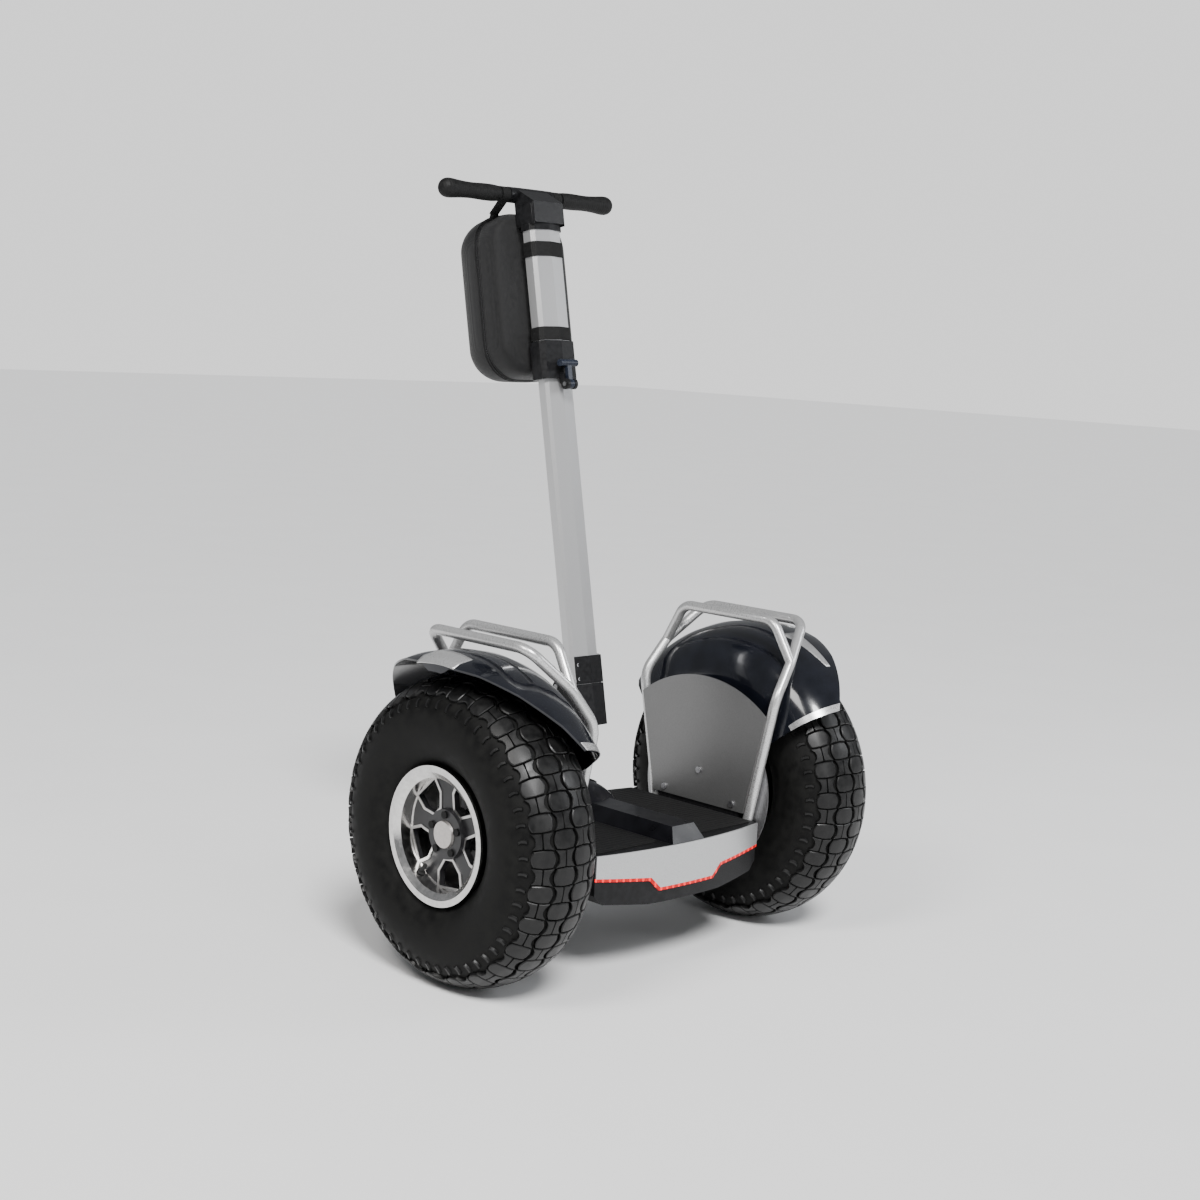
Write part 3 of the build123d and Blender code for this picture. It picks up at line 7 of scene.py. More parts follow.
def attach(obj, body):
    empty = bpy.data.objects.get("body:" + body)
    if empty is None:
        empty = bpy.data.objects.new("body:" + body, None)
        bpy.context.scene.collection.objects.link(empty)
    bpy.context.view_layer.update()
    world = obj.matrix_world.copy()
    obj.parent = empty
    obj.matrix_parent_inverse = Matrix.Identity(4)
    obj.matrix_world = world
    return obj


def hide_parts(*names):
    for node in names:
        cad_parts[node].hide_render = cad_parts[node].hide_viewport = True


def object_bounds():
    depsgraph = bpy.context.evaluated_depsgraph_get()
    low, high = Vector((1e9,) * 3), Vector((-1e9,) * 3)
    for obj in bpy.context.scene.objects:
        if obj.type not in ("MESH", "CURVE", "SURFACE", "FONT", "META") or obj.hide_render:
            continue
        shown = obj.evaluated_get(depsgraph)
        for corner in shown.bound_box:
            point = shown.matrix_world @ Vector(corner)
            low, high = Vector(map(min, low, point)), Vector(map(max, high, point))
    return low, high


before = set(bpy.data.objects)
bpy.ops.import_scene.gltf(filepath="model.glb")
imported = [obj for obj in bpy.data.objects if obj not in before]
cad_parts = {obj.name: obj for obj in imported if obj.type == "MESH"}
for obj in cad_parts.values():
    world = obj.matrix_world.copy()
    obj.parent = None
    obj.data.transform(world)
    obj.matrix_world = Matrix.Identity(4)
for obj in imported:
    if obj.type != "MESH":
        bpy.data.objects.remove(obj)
cad_low, cad_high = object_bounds()

# Studio: a pale floor under the tyres, one soft key light high behind on the left, weaker
# lamps beside it and an even pale surround, which the camera is shown brighter than it
# lights the object. The camera stands behind on the left.
bpy.ops.object.select_all(action="DESELECT")
bpy.ops.mesh.primitive_grid_add(x_subdivisions=8, y_subdivisions=8, size=60)
floor = bpy.context.object
floor.name = "studio_floor"
paper = bpy.data.materials.new("pale_paper")
paper.use_nodes = True
paper_shader = paper.node_tree.nodes["Principled BSDF"]
paper_place = paper.node_tree.nodes.new("ShaderNodeTexCoord")
paper_noise = paper.node_tree.nodes.new("ShaderNodeTexNoise")
paper_noise.inputs["Scale"].default_value = 3
paper_tone = paper.node_tree.nodes.new("ShaderNodeValToRGB")
paper_tone.color_ramp.elements[0].color = (0.86, 0.86, 0.86, 1)
paper_tone.color_ramp.elements[1].color = (0.9, 0.9, 0.9, 1)
paper.node_tree.links.new(paper_place.outputs["Object"], paper_noise.inputs["Vector"])
paper.node_tree.links.new(paper_noise.outputs["Fac"], paper_tone.inputs["Fac"])
paper.node_tree.links.new(paper_tone.outputs["Color"], paper_shader.inputs["Base Color"])
paper_shader.inputs["Roughness"].default_value = 0.9
floor.data.materials.append(paper)

surround = bpy.data.worlds.new("studio_surround")
surround.use_nodes = True
surround.node_tree.nodes["Background"].inputs["Color"].default_value = (0.95, 0.97, 1.0, 1)
surround.node_tree.nodes["Background"].inputs["Strength"].default_value = 0.27
bright_surround = surround.node_tree.nodes.new("ShaderNodeBackground")
bright_surround.inputs["Strength"].default_value = 1.6
seen_or_lighting = surround.node_tree.nodes.new("ShaderNodeLightPath")
either = surround.node_tree.nodes.new("ShaderNodeMixShader")
surround_links = surround.node_tree.links
surround_links.new(seen_or_lighting.outputs["Is Camera Ray"], either.inputs[0])
surround_links.new(surround.node_tree.nodes["Background"].outputs[0], either.inputs[1])
surround_links.new(bright_surround.outputs[0], either.inputs[2])
surround_links.new(either.outputs[0], surround.node_tree.nodes["World Output"].inputs["Surface"])
bpy.context.scene.world = surround

lamps = (
    ("lamp_left", (-2.6, -0.6, 3.0), 1.2, 70, (1.0, 0.98, 0.95)),
    ("lamp_right", (2.8, -2.4, 2.2), 1.4, 45, (0.95, 0.97, 1.0)),
    ("lamp_behind", (-0.6, -3.4, 1.2), 0.7, 14, (1.0, 1.0, 1.0)),
)
aim = (cad_low + cad_high) / 2
bpy.ops.object.light_add(type="SUN", location=(-1.2, -2.0, 3.2))
key_light = bpy.context.object
key_light.name = "key_light"
key_light.data.energy = 4.3
key_light.data.angle = radians(16)
key_light.rotation_euler = (aim - key_light.location).to_track_quat("-Z", "Y").to_euler()
for lamp_name, lamp_place, lamp_size, lamp_power, lamp_colour in lamps:
    bpy.ops.object.select_all(action="DESELECT")
    bpy.ops.object.light_add(type="AREA", location=lamp_place)
    lamp = bpy.context.object
    lamp.name = lamp_name
    lamp.data.size = lamp_size
    lamp.data.energy = lamp_power
    lamp.data.color = lamp_colour
    lamp.rotation_euler = (aim - Vector(lamp_place)).to_track_quat("-Z", "Y").to_euler()

bpy.ops.object.camera_add(location=(-2.4593, -2.4089, 1.1058))
camera = bpy.context.object
camera.data.lens = 57.86
camera.data.sensor_width = 36
camera.data.clip_start = 0.05
camera_right = Vector((0.71373, -0.69854, 0.05130))
camera_up = Vector((0.05788, 0.13180, 0.98958))
camera_back = Vector((-0.69803, -0.70333, 0.13450))
turn = Matrix((camera_right, camera_up, camera_back)).transposed()
camera.rotation_euler = turn.to_euler()
bpy.context.scene.camera = camera

# Tyres: tubeless black rubber, moulded in one piece. The smooth carcass is a spun section, and
# the tread on it is wide barrel lugs between waisted, slit lugs, staggered from row to row.
wheel_height = 0.267
tyre_middle = 0.357
tyre_half_width = 0.085
bead_radius = 0.1016
carcass_radius = 0.2602
tread_depth = 0.0065
tread_pitches = 27
tread_rows = (-0.0555, -0.0185, 0.0185, 0.0555)
shoulder_rows = (-0.0865, 0.0865)
lug_edge = 0.0012
slit_depth = 0.003
bar_height = 0.0035
steps_per_degree = 4
section_middle = (carcass_radius + bead_radius) / 2
section_half_height = (carcass_radius - bead_radius) / 2
sides = ((-1, "left"), (1, "right"))


def worked_finish(name, dark, light, grain, rough, metallic=0.0, relief=0.05, skin=None):
    """Finish whose tone, gloss and skin vary in a grain of so many cells to the metre."""
    finish = bpy.data.materials.new(name)
    finish.use_nodes = True
    nodes = finish.node_tree.nodes
    links = finish.node_tree.links
    shader = nodes["Principled BSDF"]
    place = nodes.new("ShaderNodeTexCoord")
    place.name = "place"
    mottle = nodes.new("ShaderNodeTexNoise")
    mottle.name = "mottle"
    mottle.inputs["Scale"].default_value = grain
    mottle.inputs["Detail"].default_value = 5
    links.new(place.outputs["Object"], mottle.inputs["Vector"])
    tone = nodes.new("ShaderNodeValToRGB")
    tone.name = "tone"
    tone.color_ramp.elements[0].position = 0.35
    tone.color_ramp.elements[0].color = (*dark, 1)
    tone.color_ramp.elements[1].position = 0.65
    tone.color_ramp.elements[1].color = (*light, 1)
    links.new(mottle.outputs["Fac"], tone.inputs["Fac"])
    links.new(tone.outputs["Color"], shader.inputs["Base Color"])
    gloss = nodes.new("ShaderNodeMapRange")
    gloss.name = "gloss"
    gloss.inputs["From Min"].default_value = 0.3
    gloss.inputs["From Max"].default_value = 0.7
    gloss.inputs["To Min"].default_value = rough[0]
    gloss.inputs["To Max"].default_value = rough[1]
    links.new(mottle.outputs["Fac"], gloss.inputs["Value"])
    links.new(gloss.outputs["Result"], shader.inputs["Roughness"])
    pores = nodes.new("ShaderNodeTexNoise")
    pores.name = "pores"
    pores.inputs["Scale"].default_value = skin or grain * 8
    pores.inputs["Detail"].default_value = 2
    links.new(place.outputs["Object"], pores.inputs["Vector"])
    bump = nodes.new("ShaderNodeBump")
    bump.name = "bump"
    bump.inputs["Strength"].default_value = relief
    bump.inputs["Distance"].default_value = 0.001
    links.new(pores.outputs["Fac"], bump.inputs["Height"])
    links.new(bump.outputs["Normal"], shader.inputs["Normal"])
    shader.inputs["Metallic"].default_value = metallic
    shader.inputs["Specular IOR Level"].default_value = 0.5 if metallic > 0.5 else 0.2
    return finish


def adjust(finish, socket, value):
    """Sets one constant of a finish's shader."""
    finish.node_tree.nodes["Principled BSDF"].inputs[socket].default_value = value


def dress(finish, *nodes):
    """Puts a finish on carried-over nodes."""
    for node in nodes:
        bpy.data.objects[node].material_slots[0].material = finish


def new_piece(name):
    """Names the piece just added and puts its place into its mesh."""
    piece = bpy.context.object
    piece.name = name
    bpy.ops.object.transform_apply(location=True, rotation=True, scale=True)
    return piece


def edit(piece, select="SELECT"):
    """Opens a piece for editing with everything or nothing selected."""
    bpy.ops.object.select_all(action="DESELECT")
    piece.select_set(True)
    bpy.context.view_layer.objects.active = piece
    bpy.ops.object.mode_set(mode="EDIT")
    bpy.ops.mesh.select_all(action=select)


def close_up(piece, smooth=35, merge=0.00002):
    """Merges doubles, turns the faces outward, leaves edit mode and smooths."""
    bpy.ops.mesh.select_all(action="SELECT")
    bpy.ops.mesh.remove_doubles(threshold=merge)
    bpy.ops.mesh.normals_make_consistent(inside=False)
    bpy.ops.object.mode_set(mode="OBJECT")
    bpy.ops.object.select_all(action="DESELECT")
    piece.select_set(True)
    bpy.context.view_layer.objects.active = piece
    bpy.ops.object.shade_smooth_by_angle(angle=radians(smooth))


def rounded(value, power=0.9):
    """Fills out a sine or cosine, so that the section it draws is a little square."""
    return (1 if value > 0 else -1) * abs(value) ** power


def section_point(angle):
    """Across and radial place on the carcass; 90 degrees is the crown."""
    across = tyre_half_width * rounded(cos(angle))
    return across, section_middle + section_half_height * rounded(sin(angle))


crown_steps = [
    section_point(radians(90 - step / steps_per_degree)) for step in range(100 * steps_per_degree)
]
crown_run = [0.0]
for before, after in zip(crown_steps, crown_steps[1:]):
    crown_run.append(crown_run[-1] + sqrt((after[0] - before[0]) ** 2 + (after[1] - before[1]) ** 2))


def on_carcass(across, along, height):
    """Place of a tread point given its run across from the crown, its run round and its height."""
    step = min(range(len(crown_run) - 1), key=lambda i: abs(crown_run[i] - abs(across)))
    here = Vector(crown_steps[step])
    ahead = Vector(crown_steps[step + 1]) - here
    outward = Vector((-ahead.y, ahead.x)).normalized()
    if outward.y < 0:
        outward = -outward
    spot = here + ahead.normalized() * (abs(across) - crown_run[step]) + outward * height
    turn_angle = along / carcass_radius
    over = spot.x if across >= 0 else -spot.x
    return over, spot.y * sin(turn_angle), spot.y * cos(turn_angle)


def lug(name, waisted, across, along, half_width=0.0172, half_length=0.0148):
    """One tread lug as a flat block: barrel shaped, or waisted with a slit down its middle."""
    bpy.ops.object.select_all(action="DESELECT")
    bpy.ops.mesh.primitive_grid_add(x_subdivisions=6, y_subdivisions=4, size=2)
    block = new_piece(name)
    stations = (-1, -0.55, -0.1, 0, 0.1, 0.55, 1)
    for point in block.data.vertices:
        share = stations[round((point.co.x + 1) * 3)]
        reach = point.co.y
        if waisted:
            wide = half_width * (0.62 + 0.43 * reach * reach)
            long = half_length * (0.9 + 0.12 * share * share)
        else:
            wide = half_width * (1.12 - 0.26 * reach * reach)
            long = half_length * (1.02 - 0.1 * share * share)
        point.co = (across + share * wide, along + reach * long, 0)
    edit(block)
    centre = (across, along, 0)
    bpy.ops.mesh.extrude_region_move(TRANSFORM_OT_translate={"value": (0, 0, tread_depth - lug_edge)})
    bpy.ops.mesh.extrude_region_move(TRANSFORM_OT_translate={"value": (0, 0, lug_edge)})
    bpy.ops.transform.resize(value=(0.9, 0.9, 1), center_override=centre)
    bpy.ops.object.mode_set(mode="OBJECT")
    for point in block.data.vertices:
        if waisted and abs(point.co.x - across) < 0.0004 and point.co.z > tread_depth * 0.7:
            point.co.z -= slit_depth
    return block


def shoulder_bar(name, across, along):
    """Short raised bar on the tyre's shoulder, below the tread rows."""
    bpy.ops.object.select_all(action="DESELECT")
    bpy.ops.mesh.primitive_grid_add(x_subdivisions=3, y_subdivisions=1, size=2)
    bar = new_piece(name)
    for point in bar.data.vertices:
        bend = 0.003 * (1 - point.co.x * point.co.x)
        point.co = (across + point.co.x * 0.0085, along + point.co.y * 0.0032 + bend, 0)
    edit(bar)
    bpy.ops.mesh.extrude_region_move(TRANSFORM_OT_translate={"value": (0, 0, bar_height)})
    bpy.ops.transform.resize(value=(0.85, 0.7, 1), center_override=(across, along, 0))
    bpy.ops.object.mode_set(mode="OBJECT")
    return bar


tyre_rubber = worked_finish(
    "tyre_rubber", (0.0035, 0.0035, 0.0035), (0.008, 0.008, 0.0076), 55, (0.5, 0.68),
    relief=0.12, skin=900,
)
tread_rubber = worked_finish(
    "tread_rubber", (0.004, 0.004, 0.0042), (0.009, 0.009, 0.009), 70, (0.3, 0.46), relief=0.1, skin=700
)
adjust(tyre_rubber, "Specular IOR Level", 0.12)
adjust(tread_rubber, "Specular IOR Level", 0.3)
pitch = 2 * pi * carcass_radius / tread_pitches
for side, side_name in sides:
    bpy.ops.object.select_all(action="DESELECT")
    bpy.ops.mesh.primitive_circle_add(vertices=56, radius=1, rotation=(pi / 2, 0, 0))
    carcass = new_piece(f"tyre_carcass_{side_name}")
    for point in carcass.data.vertices:
        across, radial = section_point(atan2(point.co.z, point.co.x))
        point.co = (side * tyre_middle + across, 0, wheel_height + radial)
    edit(carcass)
    bpy.ops.mesh.spin(steps=144, angle=2 * pi, center=(0, 0, wheel_height), axis=(1, 0, 0))
    close_up(carcass, 60)
    carcass.data.materials.append(tyre_rubber)
    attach(carcass, f"wheel_{side_name}")
    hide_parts(f"tyre_{side_name}")

    blocks = []
    for row, across in enumerate(tread_rows):
        for order in (0, 1):
            waisted = (row + order) % 2 == 0
            blocks.append(lug("tread", waisted, across, order * pitch / 2))
    for across in shoulder_rows:
        for order in (0, 1):
            blocks.append(shoulder_bar("bar", across, order * pitch / 2))
    bpy.ops.object.select_all(action="DESELECT")
    for block in blocks:
        block.select_set(True)
    bpy.context.view_layer.objects.active = blocks[0]
    bpy.ops.object.join()
    tread = bpy.context.object
    tread.name = f"tyre_tread_{side_name}"
    for point in tread.data.vertices:
        over, forward, up = on_carcass(point.co.x, point.co.y, point.co.z)
        point.co = (side * tyre_middle + over, forward, wheel_height + up)
    edit(tread)
    bpy.ops.mesh.spin(
        steps=tread_pitches - 1,
        dupli=True,
        angle=2 * pi * (tread_pitches - 1) / tread_pitches,
        center=(0, 0, wheel_height),
        axis=(1, 0, 0),
    )
    close_up(tread, 30)
    tread.data.materials.append(tread_rubber)
    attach(tread, f"wheel_{side_name}")

# Rims: cast alloy wheels, turned bright on the barrel and lip, painted black between the
# spokes, with a bright machined border round each of the five windows. Bolts hold them on.
spoke_face = 0.398
spoke_back = 0.388
painted_radius = 0.0952
window_count = 5
window_ends = (0.046, 0.066, 0.091)
window_half_width = 0.025
window_tip_half_width = 0.009
window_flare = 0.002
window_centre = 0.0705
window_angle = radians(90 - 30)
border_growth = 1.2
border_height = 0.0016
border_gap = 0.0002


def two_tone(finish, painted, painted_rough):
    """Paints the disc between the spokes and leaves the barrel and lip bright."""
    nodes = finish.node_tree.nodes
    links = finish.node_tree.links
    shader = nodes["Principled BSDF"]
    split = nodes.new("ShaderNodeSeparateXYZ")
    links.new(nodes["place"].outputs["Object"], split.inputs["Vector"])

    def step(kind, first, second):
        """One sum on numbers or sockets; None leaves an input alone."""
        node = nodes.new("ShaderNodeMath")
        node.operation = kind
        for socket, value in zip(node.inputs, (first, second)):
            if isinstance(value, (int, float)):
                socket.default_value = value
            elif value is not None:
                links.new(value, socket)
        return node.outputs[0]

    up = step("SUBTRACT", split.outputs["Z"], wheel_height)
    ring = step("ADD", step("MULTIPLY", up, up), step("MULTIPLY", split.outputs["Y"], split.outputs["Y"]))
    out = step("ABSOLUTE", split.outputs["X"], None)
    near = step("LESS_THAN", ring, painted_radius ** 2)
    past = step("GREATER_THAN", out, spoke_back - 0.006)
    short = step("LESS_THAN", out, spoke_face + 0.012)
    mask = step("MULTIPLY", step("MULTIPLY", near, past), short)
    blend = nodes.new("ShaderNodeMix")
    blend.data_type = "RGBA"
    links.new(mask, blend.inputs["Factor"])
    links.new(nodes["tone"].outputs["Color"], blend.inputs[6])
    dark = nodes.new("ShaderNodeValToRGB")
    dark.color_ramp.elements[0].color = (*painted, 1)
    dark.color_ramp.elements[1].color = (*[1.6 * tone for tone in painted], 1)
    links.new(nodes["mottle"].outputs["Fac"], dark.inputs["Fac"])
    links.new(dark.outputs["Color"], blend.inputs[7])
    links.new(blend.outputs[2], shader.inputs["Base Color"])
    links.new(step("SUBTRACT", 1.0, mask), shader.inputs["Metallic"])
    rough = nodes.new("ShaderNodeMapRange")
    rough.inputs["To Max"].default_value = painted_rough
    links.new(mask, rough.inputs["Value"])
    links.new(nodes["gloss"].outputs["Result"], rough.inputs["To Min"])
    links.new(rough.outputs["Result"], shader.inputs["Roughness"])


polished_alloy = worked_finish(
    "polished_alloy", (0.62, 0.61, 0.6), (0.74, 0.73, 0.72), 120, (0.16, 0.26), 1.0, 0.03
)
two_tone(polished_alloy, (0.012, 0.012, 0.013), 0.35)
machined_alloy = worked_finish(
    "machined_alloy", (0.5, 0.49, 0.48), (0.62, 0.61, 0.6), 300, (0.28, 0.4), 1.0, 0.06
)
cap_alloy = worked_finish(
    "cap_alloy", (0.52, 0.49, 0.47), (0.6, 0.57, 0.55), 200, (0.35, 0.45), 0.9, 0.05
)
zinc = worked_finish(
    "bright_zinc", (0.5, 0.5, 0.52), (0.66, 0.66, 0.68), 500, (0.25, 0.4), 1.0, 0.05
)
bolt_black = worked_finish(
    "blackened_bolts", (0.006, 0.006, 0.006), (0.013, 0.013, 0.013), 400, (0.35, 0.5), 0.5, 0.1
)
valve_rubber = worked_finish(
    "valve_rubber", (0.012, 0.012, 0.012), (0.025, 0.025, 0.025), 300, (0.5, 0.65), relief=0.1
)
for side, side_name in sides:
    bpy.ops.object.select_all(action="DESELECT")
    bpy.ops.mesh.primitive_circle_add(vertices=6, radius=1)
    borders = new_piece(f"window_borders_{side_name}")
    half_widths = (window_tip_half_width, window_half_width, window_half_width + window_flare)
    one_side = list(zip(window_ends, half_widths))
    corners = one_side + [(radial, -over) for radial, over in reversed(one_side)]
    for point, (radial, over) in zip(borders.data.vertices, corners):
        rearward = radial * cos(window_angle) - over * sin(window_angle)
        up = radial * sin(window_angle) + over * cos(window_angle)
        point.co = (side * (spoke_face + border_gap), -rearward, wheel_height + up)
    edit(borders)
    window_middle = (
        0,
        -window_centre * cos(window_angle),
        wheel_height + window_centre * sin(window_angle),
    )
    bpy.ops.mesh.extrude_region_move(TRANSFORM_OT_translate={"value": (0, 0, 0)})
    bpy.ops.transform.resize(value=(1, border_growth, border_growth), center_override=window_middle)
    bpy.ops.mesh.select_all(action="SELECT")
    bpy.ops.mesh.extrude_region_move(TRANSFORM_OT_translate={"value": (side * border_height, 0, 0)})
    bpy.ops.mesh.select_all(action="SELECT")
    bpy.ops.mesh.spin(
        steps=window_count - 1,
        dupli=True,
        angle=2 * pi * (window_count - 1) / window_count,
        center=(0, 0, wheel_height),
        axis=(1, 0, 0),
    )
    close_up(borders, 20)
    borders.data.materials.append(machined_alloy)
    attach(borders, f"wheel_{side_name}")
    dress(polished_alloy, f"rim_{side_name}")
    dress(cap_alloy, f"hub_cap_{side_name}")
    dress(bolt_black, f"wheel_bolts_{side_name}")
    dress(valve_rubber, f"valve_{side_name}")

# Drive train: turned steel axles with their gears, cast gear cases and plain motor cans. All
# of it sits inside the chassis or behind the wheels and is bolted to the lower housing.
turned_steel = worked_finish(
    "turned_steel", (0.2, 0.2, 0.205), (0.26, 0.26, 0.265), 500, (0.25, 0.4), 1.0, 0.05
)
cast_black = worked_finish(
    "black_cast_alloy", (0.006, 0.006, 0.007), (0.014, 0.014, 0.015), 180, (0.45, 0.6), 0.2, 0.25, 1200
)
motor_shell = worked_finish(
    "motor_shell", (0.22, 0.22, 0.23), (0.32, 0.32, 0.33), 150, (0.4, 0.55), 0.9, 0.2
)
dress(turned_steel, "drive_axle_left", "drive_axle_right", "motor_rotor_left", "motor_rotor_right")
dress(cast_black, "gearbox_case_left", "gearbox_case_right")
dress(motor_shell, "motor_case_left", "motor_case_right", "controller", "lean_bearings")

# Chassis: a moulded black tub with a black anodised deck plate screwed on top, rubber mats,
# a gloss tunnel over the pivot and a battery in plain blue wrap inside.
satin_black = worked_finish(
    "satin_black_plastic", (0.005, 0.005, 0.0055), (0.011, 0.011, 0.012), 90, (0.38, 0.5),
    relief=0.15, skin=2200,
)
battery_wrap = worked_finish(
    "battery_wrap", (0.03, 0.09, 0.25), (0.05, 0.13, 0.34), 40, (0.25, 0.4), relief=0.2
)
gloss_black = worked_finish(
    "gloss_black_plastic", (0.003, 0.003, 0.004), (0.006, 0.006, 0.008), 30, (0.26, 0.36),
    relief=0.02, skin=60,
)
adjust(gloss_black, "Coat Weight", 0.12)
adjust(gloss_black, "Coat Roughness", 0.1)
anodised_deck = worked_finish(
    "anodised_deck", (0.006, 0.006, 0.0065), (0.013, 0.013, 0.014), 220, (0.4, 0.55), 0.4, 0.15, 1800
)


def ribbed(finish, direction, ribs_per_metre, depth, strength):
    """Adds parallel moulded ribs to a finish's relief."""
    nodes = finish.node_tree.nodes
    ribs = nodes.new("ShaderNodeTexWave")
    ribs.bands_direction = direction
    ribs.inputs["Scale"].default_value = ribs_per_metre * 2 * pi / 20
    links = finish.node_tree.links
    links.new(nodes["place"].outputs["Object"], ribs.inputs["Vector"])
    rib_bump = nodes.new("ShaderNodeBump")
    rib_bump.inputs["Strength"].default_value = strength
    rib_bump.inputs["Distance"].default_value = depth
    links.new(ribs.outputs["Fac"], rib_bump.inputs["Height"])
    links.new(nodes["bump"].outputs["Normal"], rib_bump.inputs["Normal"])
    links.new(rib_bump.outputs["Normal"], nodes["Principled BSDF"].inputs["Normal"])


mat_rubber = worked_finish(
    "ribbed_mat_rubber", (0.005, 0.005, 0.005), (0.011, 0.011, 0.011), 160, (0.55, 0.7), relief=0.2
)
ribbed(mat_rubber, "Y", 90, 0.0015, 0.9)
dress(satin_black, "lower_housing", "charge_port", "power_button")
dress(anodised_deck, "deck_plate")
dress(mat_rubber, "deck_mats")
dress(gloss_black, "tunnel_cover")
dress(battery_wrap, "battery_pack")

# Bright strips: folded aluminium in satin silver paint along the chassis front and back, with
# a red light bar of small bright lamps under the rear one.
silver_paint = worked_finish(
    "satin_silver_paint", (0.46, 0.465, 0.47), (0.56, 0.565, 0.57), 700, (0.28, 0.4), 0.75, 0.05, 2600
)
dress(silver_paint, "rear_strip", "front_strip")
light_lens = worked_finish(
    "red_light_lens", (0.35, 0.004, 0.006), (0.6, 0.008, 0.01), 200, (0.15, 0.3), relief=0.05
)
lens_nodes = light_lens.node_tree.nodes
lens_links = light_lens.node_tree.links
lamps_in_row = lens_nodes.new("ShaderNodeTexWave")
lamps_in_row.bands_direction = "X"
lamps_in_row.inputs["Scale"].default_value = 22
lens_links.new(lens_nodes["place"].outputs["Object"], lamps_in_row.inputs["Vector"])
lamp_power_range = lens_nodes.new("ShaderNodeMapRange")
lamp_power_range.inputs["From Min"].default_value = 0.7
lamp_power_range.inputs["To Min"].default_value = 0.12
lamp_power_range.inputs["To Max"].default_value = 2.0
lens_links.new(lamps_in_row.outputs["Fac"], lamp_power_range.inputs["Value"])
lens_shader = lens_nodes["Principled BSDF"]
lens_links.new(lamp_power_range.outputs["Result"], lens_shader.inputs["Emission Strength"])
lens_shader.inputs["Emission Color"].default_value = (1.0, 0.03, 0.03, 1)
dress(light_lens, "rear_light")

# Side plates and guards: pressed aluminium plates and bent aluminium tube welded at the
# branches, all sprayed silver. Three button head screws hold each plate.
plate_paint = worked_finish(
    "plate_silver_paint", (0.17, 0.17, 0.17), (0.21, 0.21, 0.21), 900, (0.32, 0.45), 0.7, 0.08, 3000
)
tube_paint = worked_finish(
    "tube_silver_paint", (0.52, 0.52, 0.52), (0.62, 0.62, 0.62), 600, (0.24, 0.36), 0.7, 0.05, 2400
)
shield_metal = worked_finish(
    "dust_shield_metal", (0.34, 0.34, 0.35), (0.44, 0.44, 0.45), 300, (0.3, 0.45), 0.9, 0.08
)
dress(plate_paint, "side_plate_left", "side_plate_right")
dress(tube_paint, "guard_left", "guard_right", "guard_hoop_left", "guard_hoop_right")
dress(zinc, "plate_screws")
dress(shield_metal, "hub_shields")

# Fenders: vacuum formed gloss black plastic over each tyre, with a smooth inner wall beside
# the guard, a bright trim along the rear edge and thin silver flashes stuck on the skin. The
# long tapered silver strip on the right fender's rear is a painted highlight, laid where the
# gloss skin shows a highlight.
fender_paint = worked_finish(
    "fender_gloss_black", (0.003, 0.0036, 0.006), (0.006, 0.007, 0.011), 25, (0.12, 0.2),
    relief=0.02, skin=40,
)
adjust(fender_paint, "Specular IOR Level", 0.4)
adjust(fender_paint, "Coat Weight", 0.4)
fender_profile = (
    (0.250, 0.160), (0.250, 0.200), (0.2515, 0.226), (0.257, 0.248), (0.264, 0.266), (0.276, 0.281),
    (0.294, 0.294), (0.320, 0.304), (0.355, 0.310), (0.400, 0.309), (0.430, 0.303), (0.4445, 0.294),
    (0.4465, 0.281),
)
fender_sweep = radians(107)
plan_radius = 0.310
plan_offset = 0.134
for side, side_name in sides:
    bpy.ops.object.select_all(action="DESELECT")
    bpy.ops.mesh.primitive_circle_add(vertices=len(fender_profile), radius=1)
    shell = new_piece(f"fender_shell_{side_name}")
    for point, (out, radial) in zip(shell.data.vertices, fender_profile):
        lean = fender_sweep / 2
        point.co = (side * out, -radial * sin(lean), wheel_height + radial * cos(lean))
    edit(shell, "DESELECT")
    bpy.ops.mesh.select_mode(type="EDGE")
    bpy.ops.object.mode_set(mode="OBJECT")
    for edge in shell.data.edges:
        edge.select = set(edge.vertices) == {0, len(fender_profile) - 1}
    bpy.ops.object.mode_set(mode="EDIT")
    bpy.ops.mesh.delete(type="EDGE")
    bpy.ops.mesh.select_mode(type="VERT")
    bpy.ops.mesh.select_all(action="SELECT")
    bpy.ops.mesh.spin(steps=72, angle=fender_sweep, center=(0, 0, wheel_height), axis=(1, 0, 0))
    close_up(shell, 50)
    wall = shell.modifiers.new("wall", "SOLIDIFY")
    wall.thickness = 0.003
    wall.offset = -1
    bpy.ops.object.modifier_apply(modifier="wall")
    bpy.ops.object.select_all(action="DESELECT")
    bpy.ops.mesh.primitive_cylinder_add(
        vertices=160, radius=plan_radius, depth=0.6, location=(side * plan_offset, 0, 0.5)
    )
    plan = new_piece("fender_plan")
    bpy.ops.object.select_all(action="DESELECT")
    shell.select_set(True)
    bpy.context.view_layer.objects.active = shell
    cut = shell.modifiers.new("cut", "BOOLEAN")
    cut.operation = "INTERSECT"
    cut.object = plan
    bpy.ops.object.modifier_apply(modifier="cut")
    bpy.data.objects.remove(plan)
    bpy.ops.object.shade_smooth_by_angle(angle=radians(40))
    shell.data.materials.append(fender_paint)
    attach(shell, "chassis")
    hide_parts(f"fender_{side_name}")
dress(tube_paint, "fender_trims")
flash_lift = 0.0004


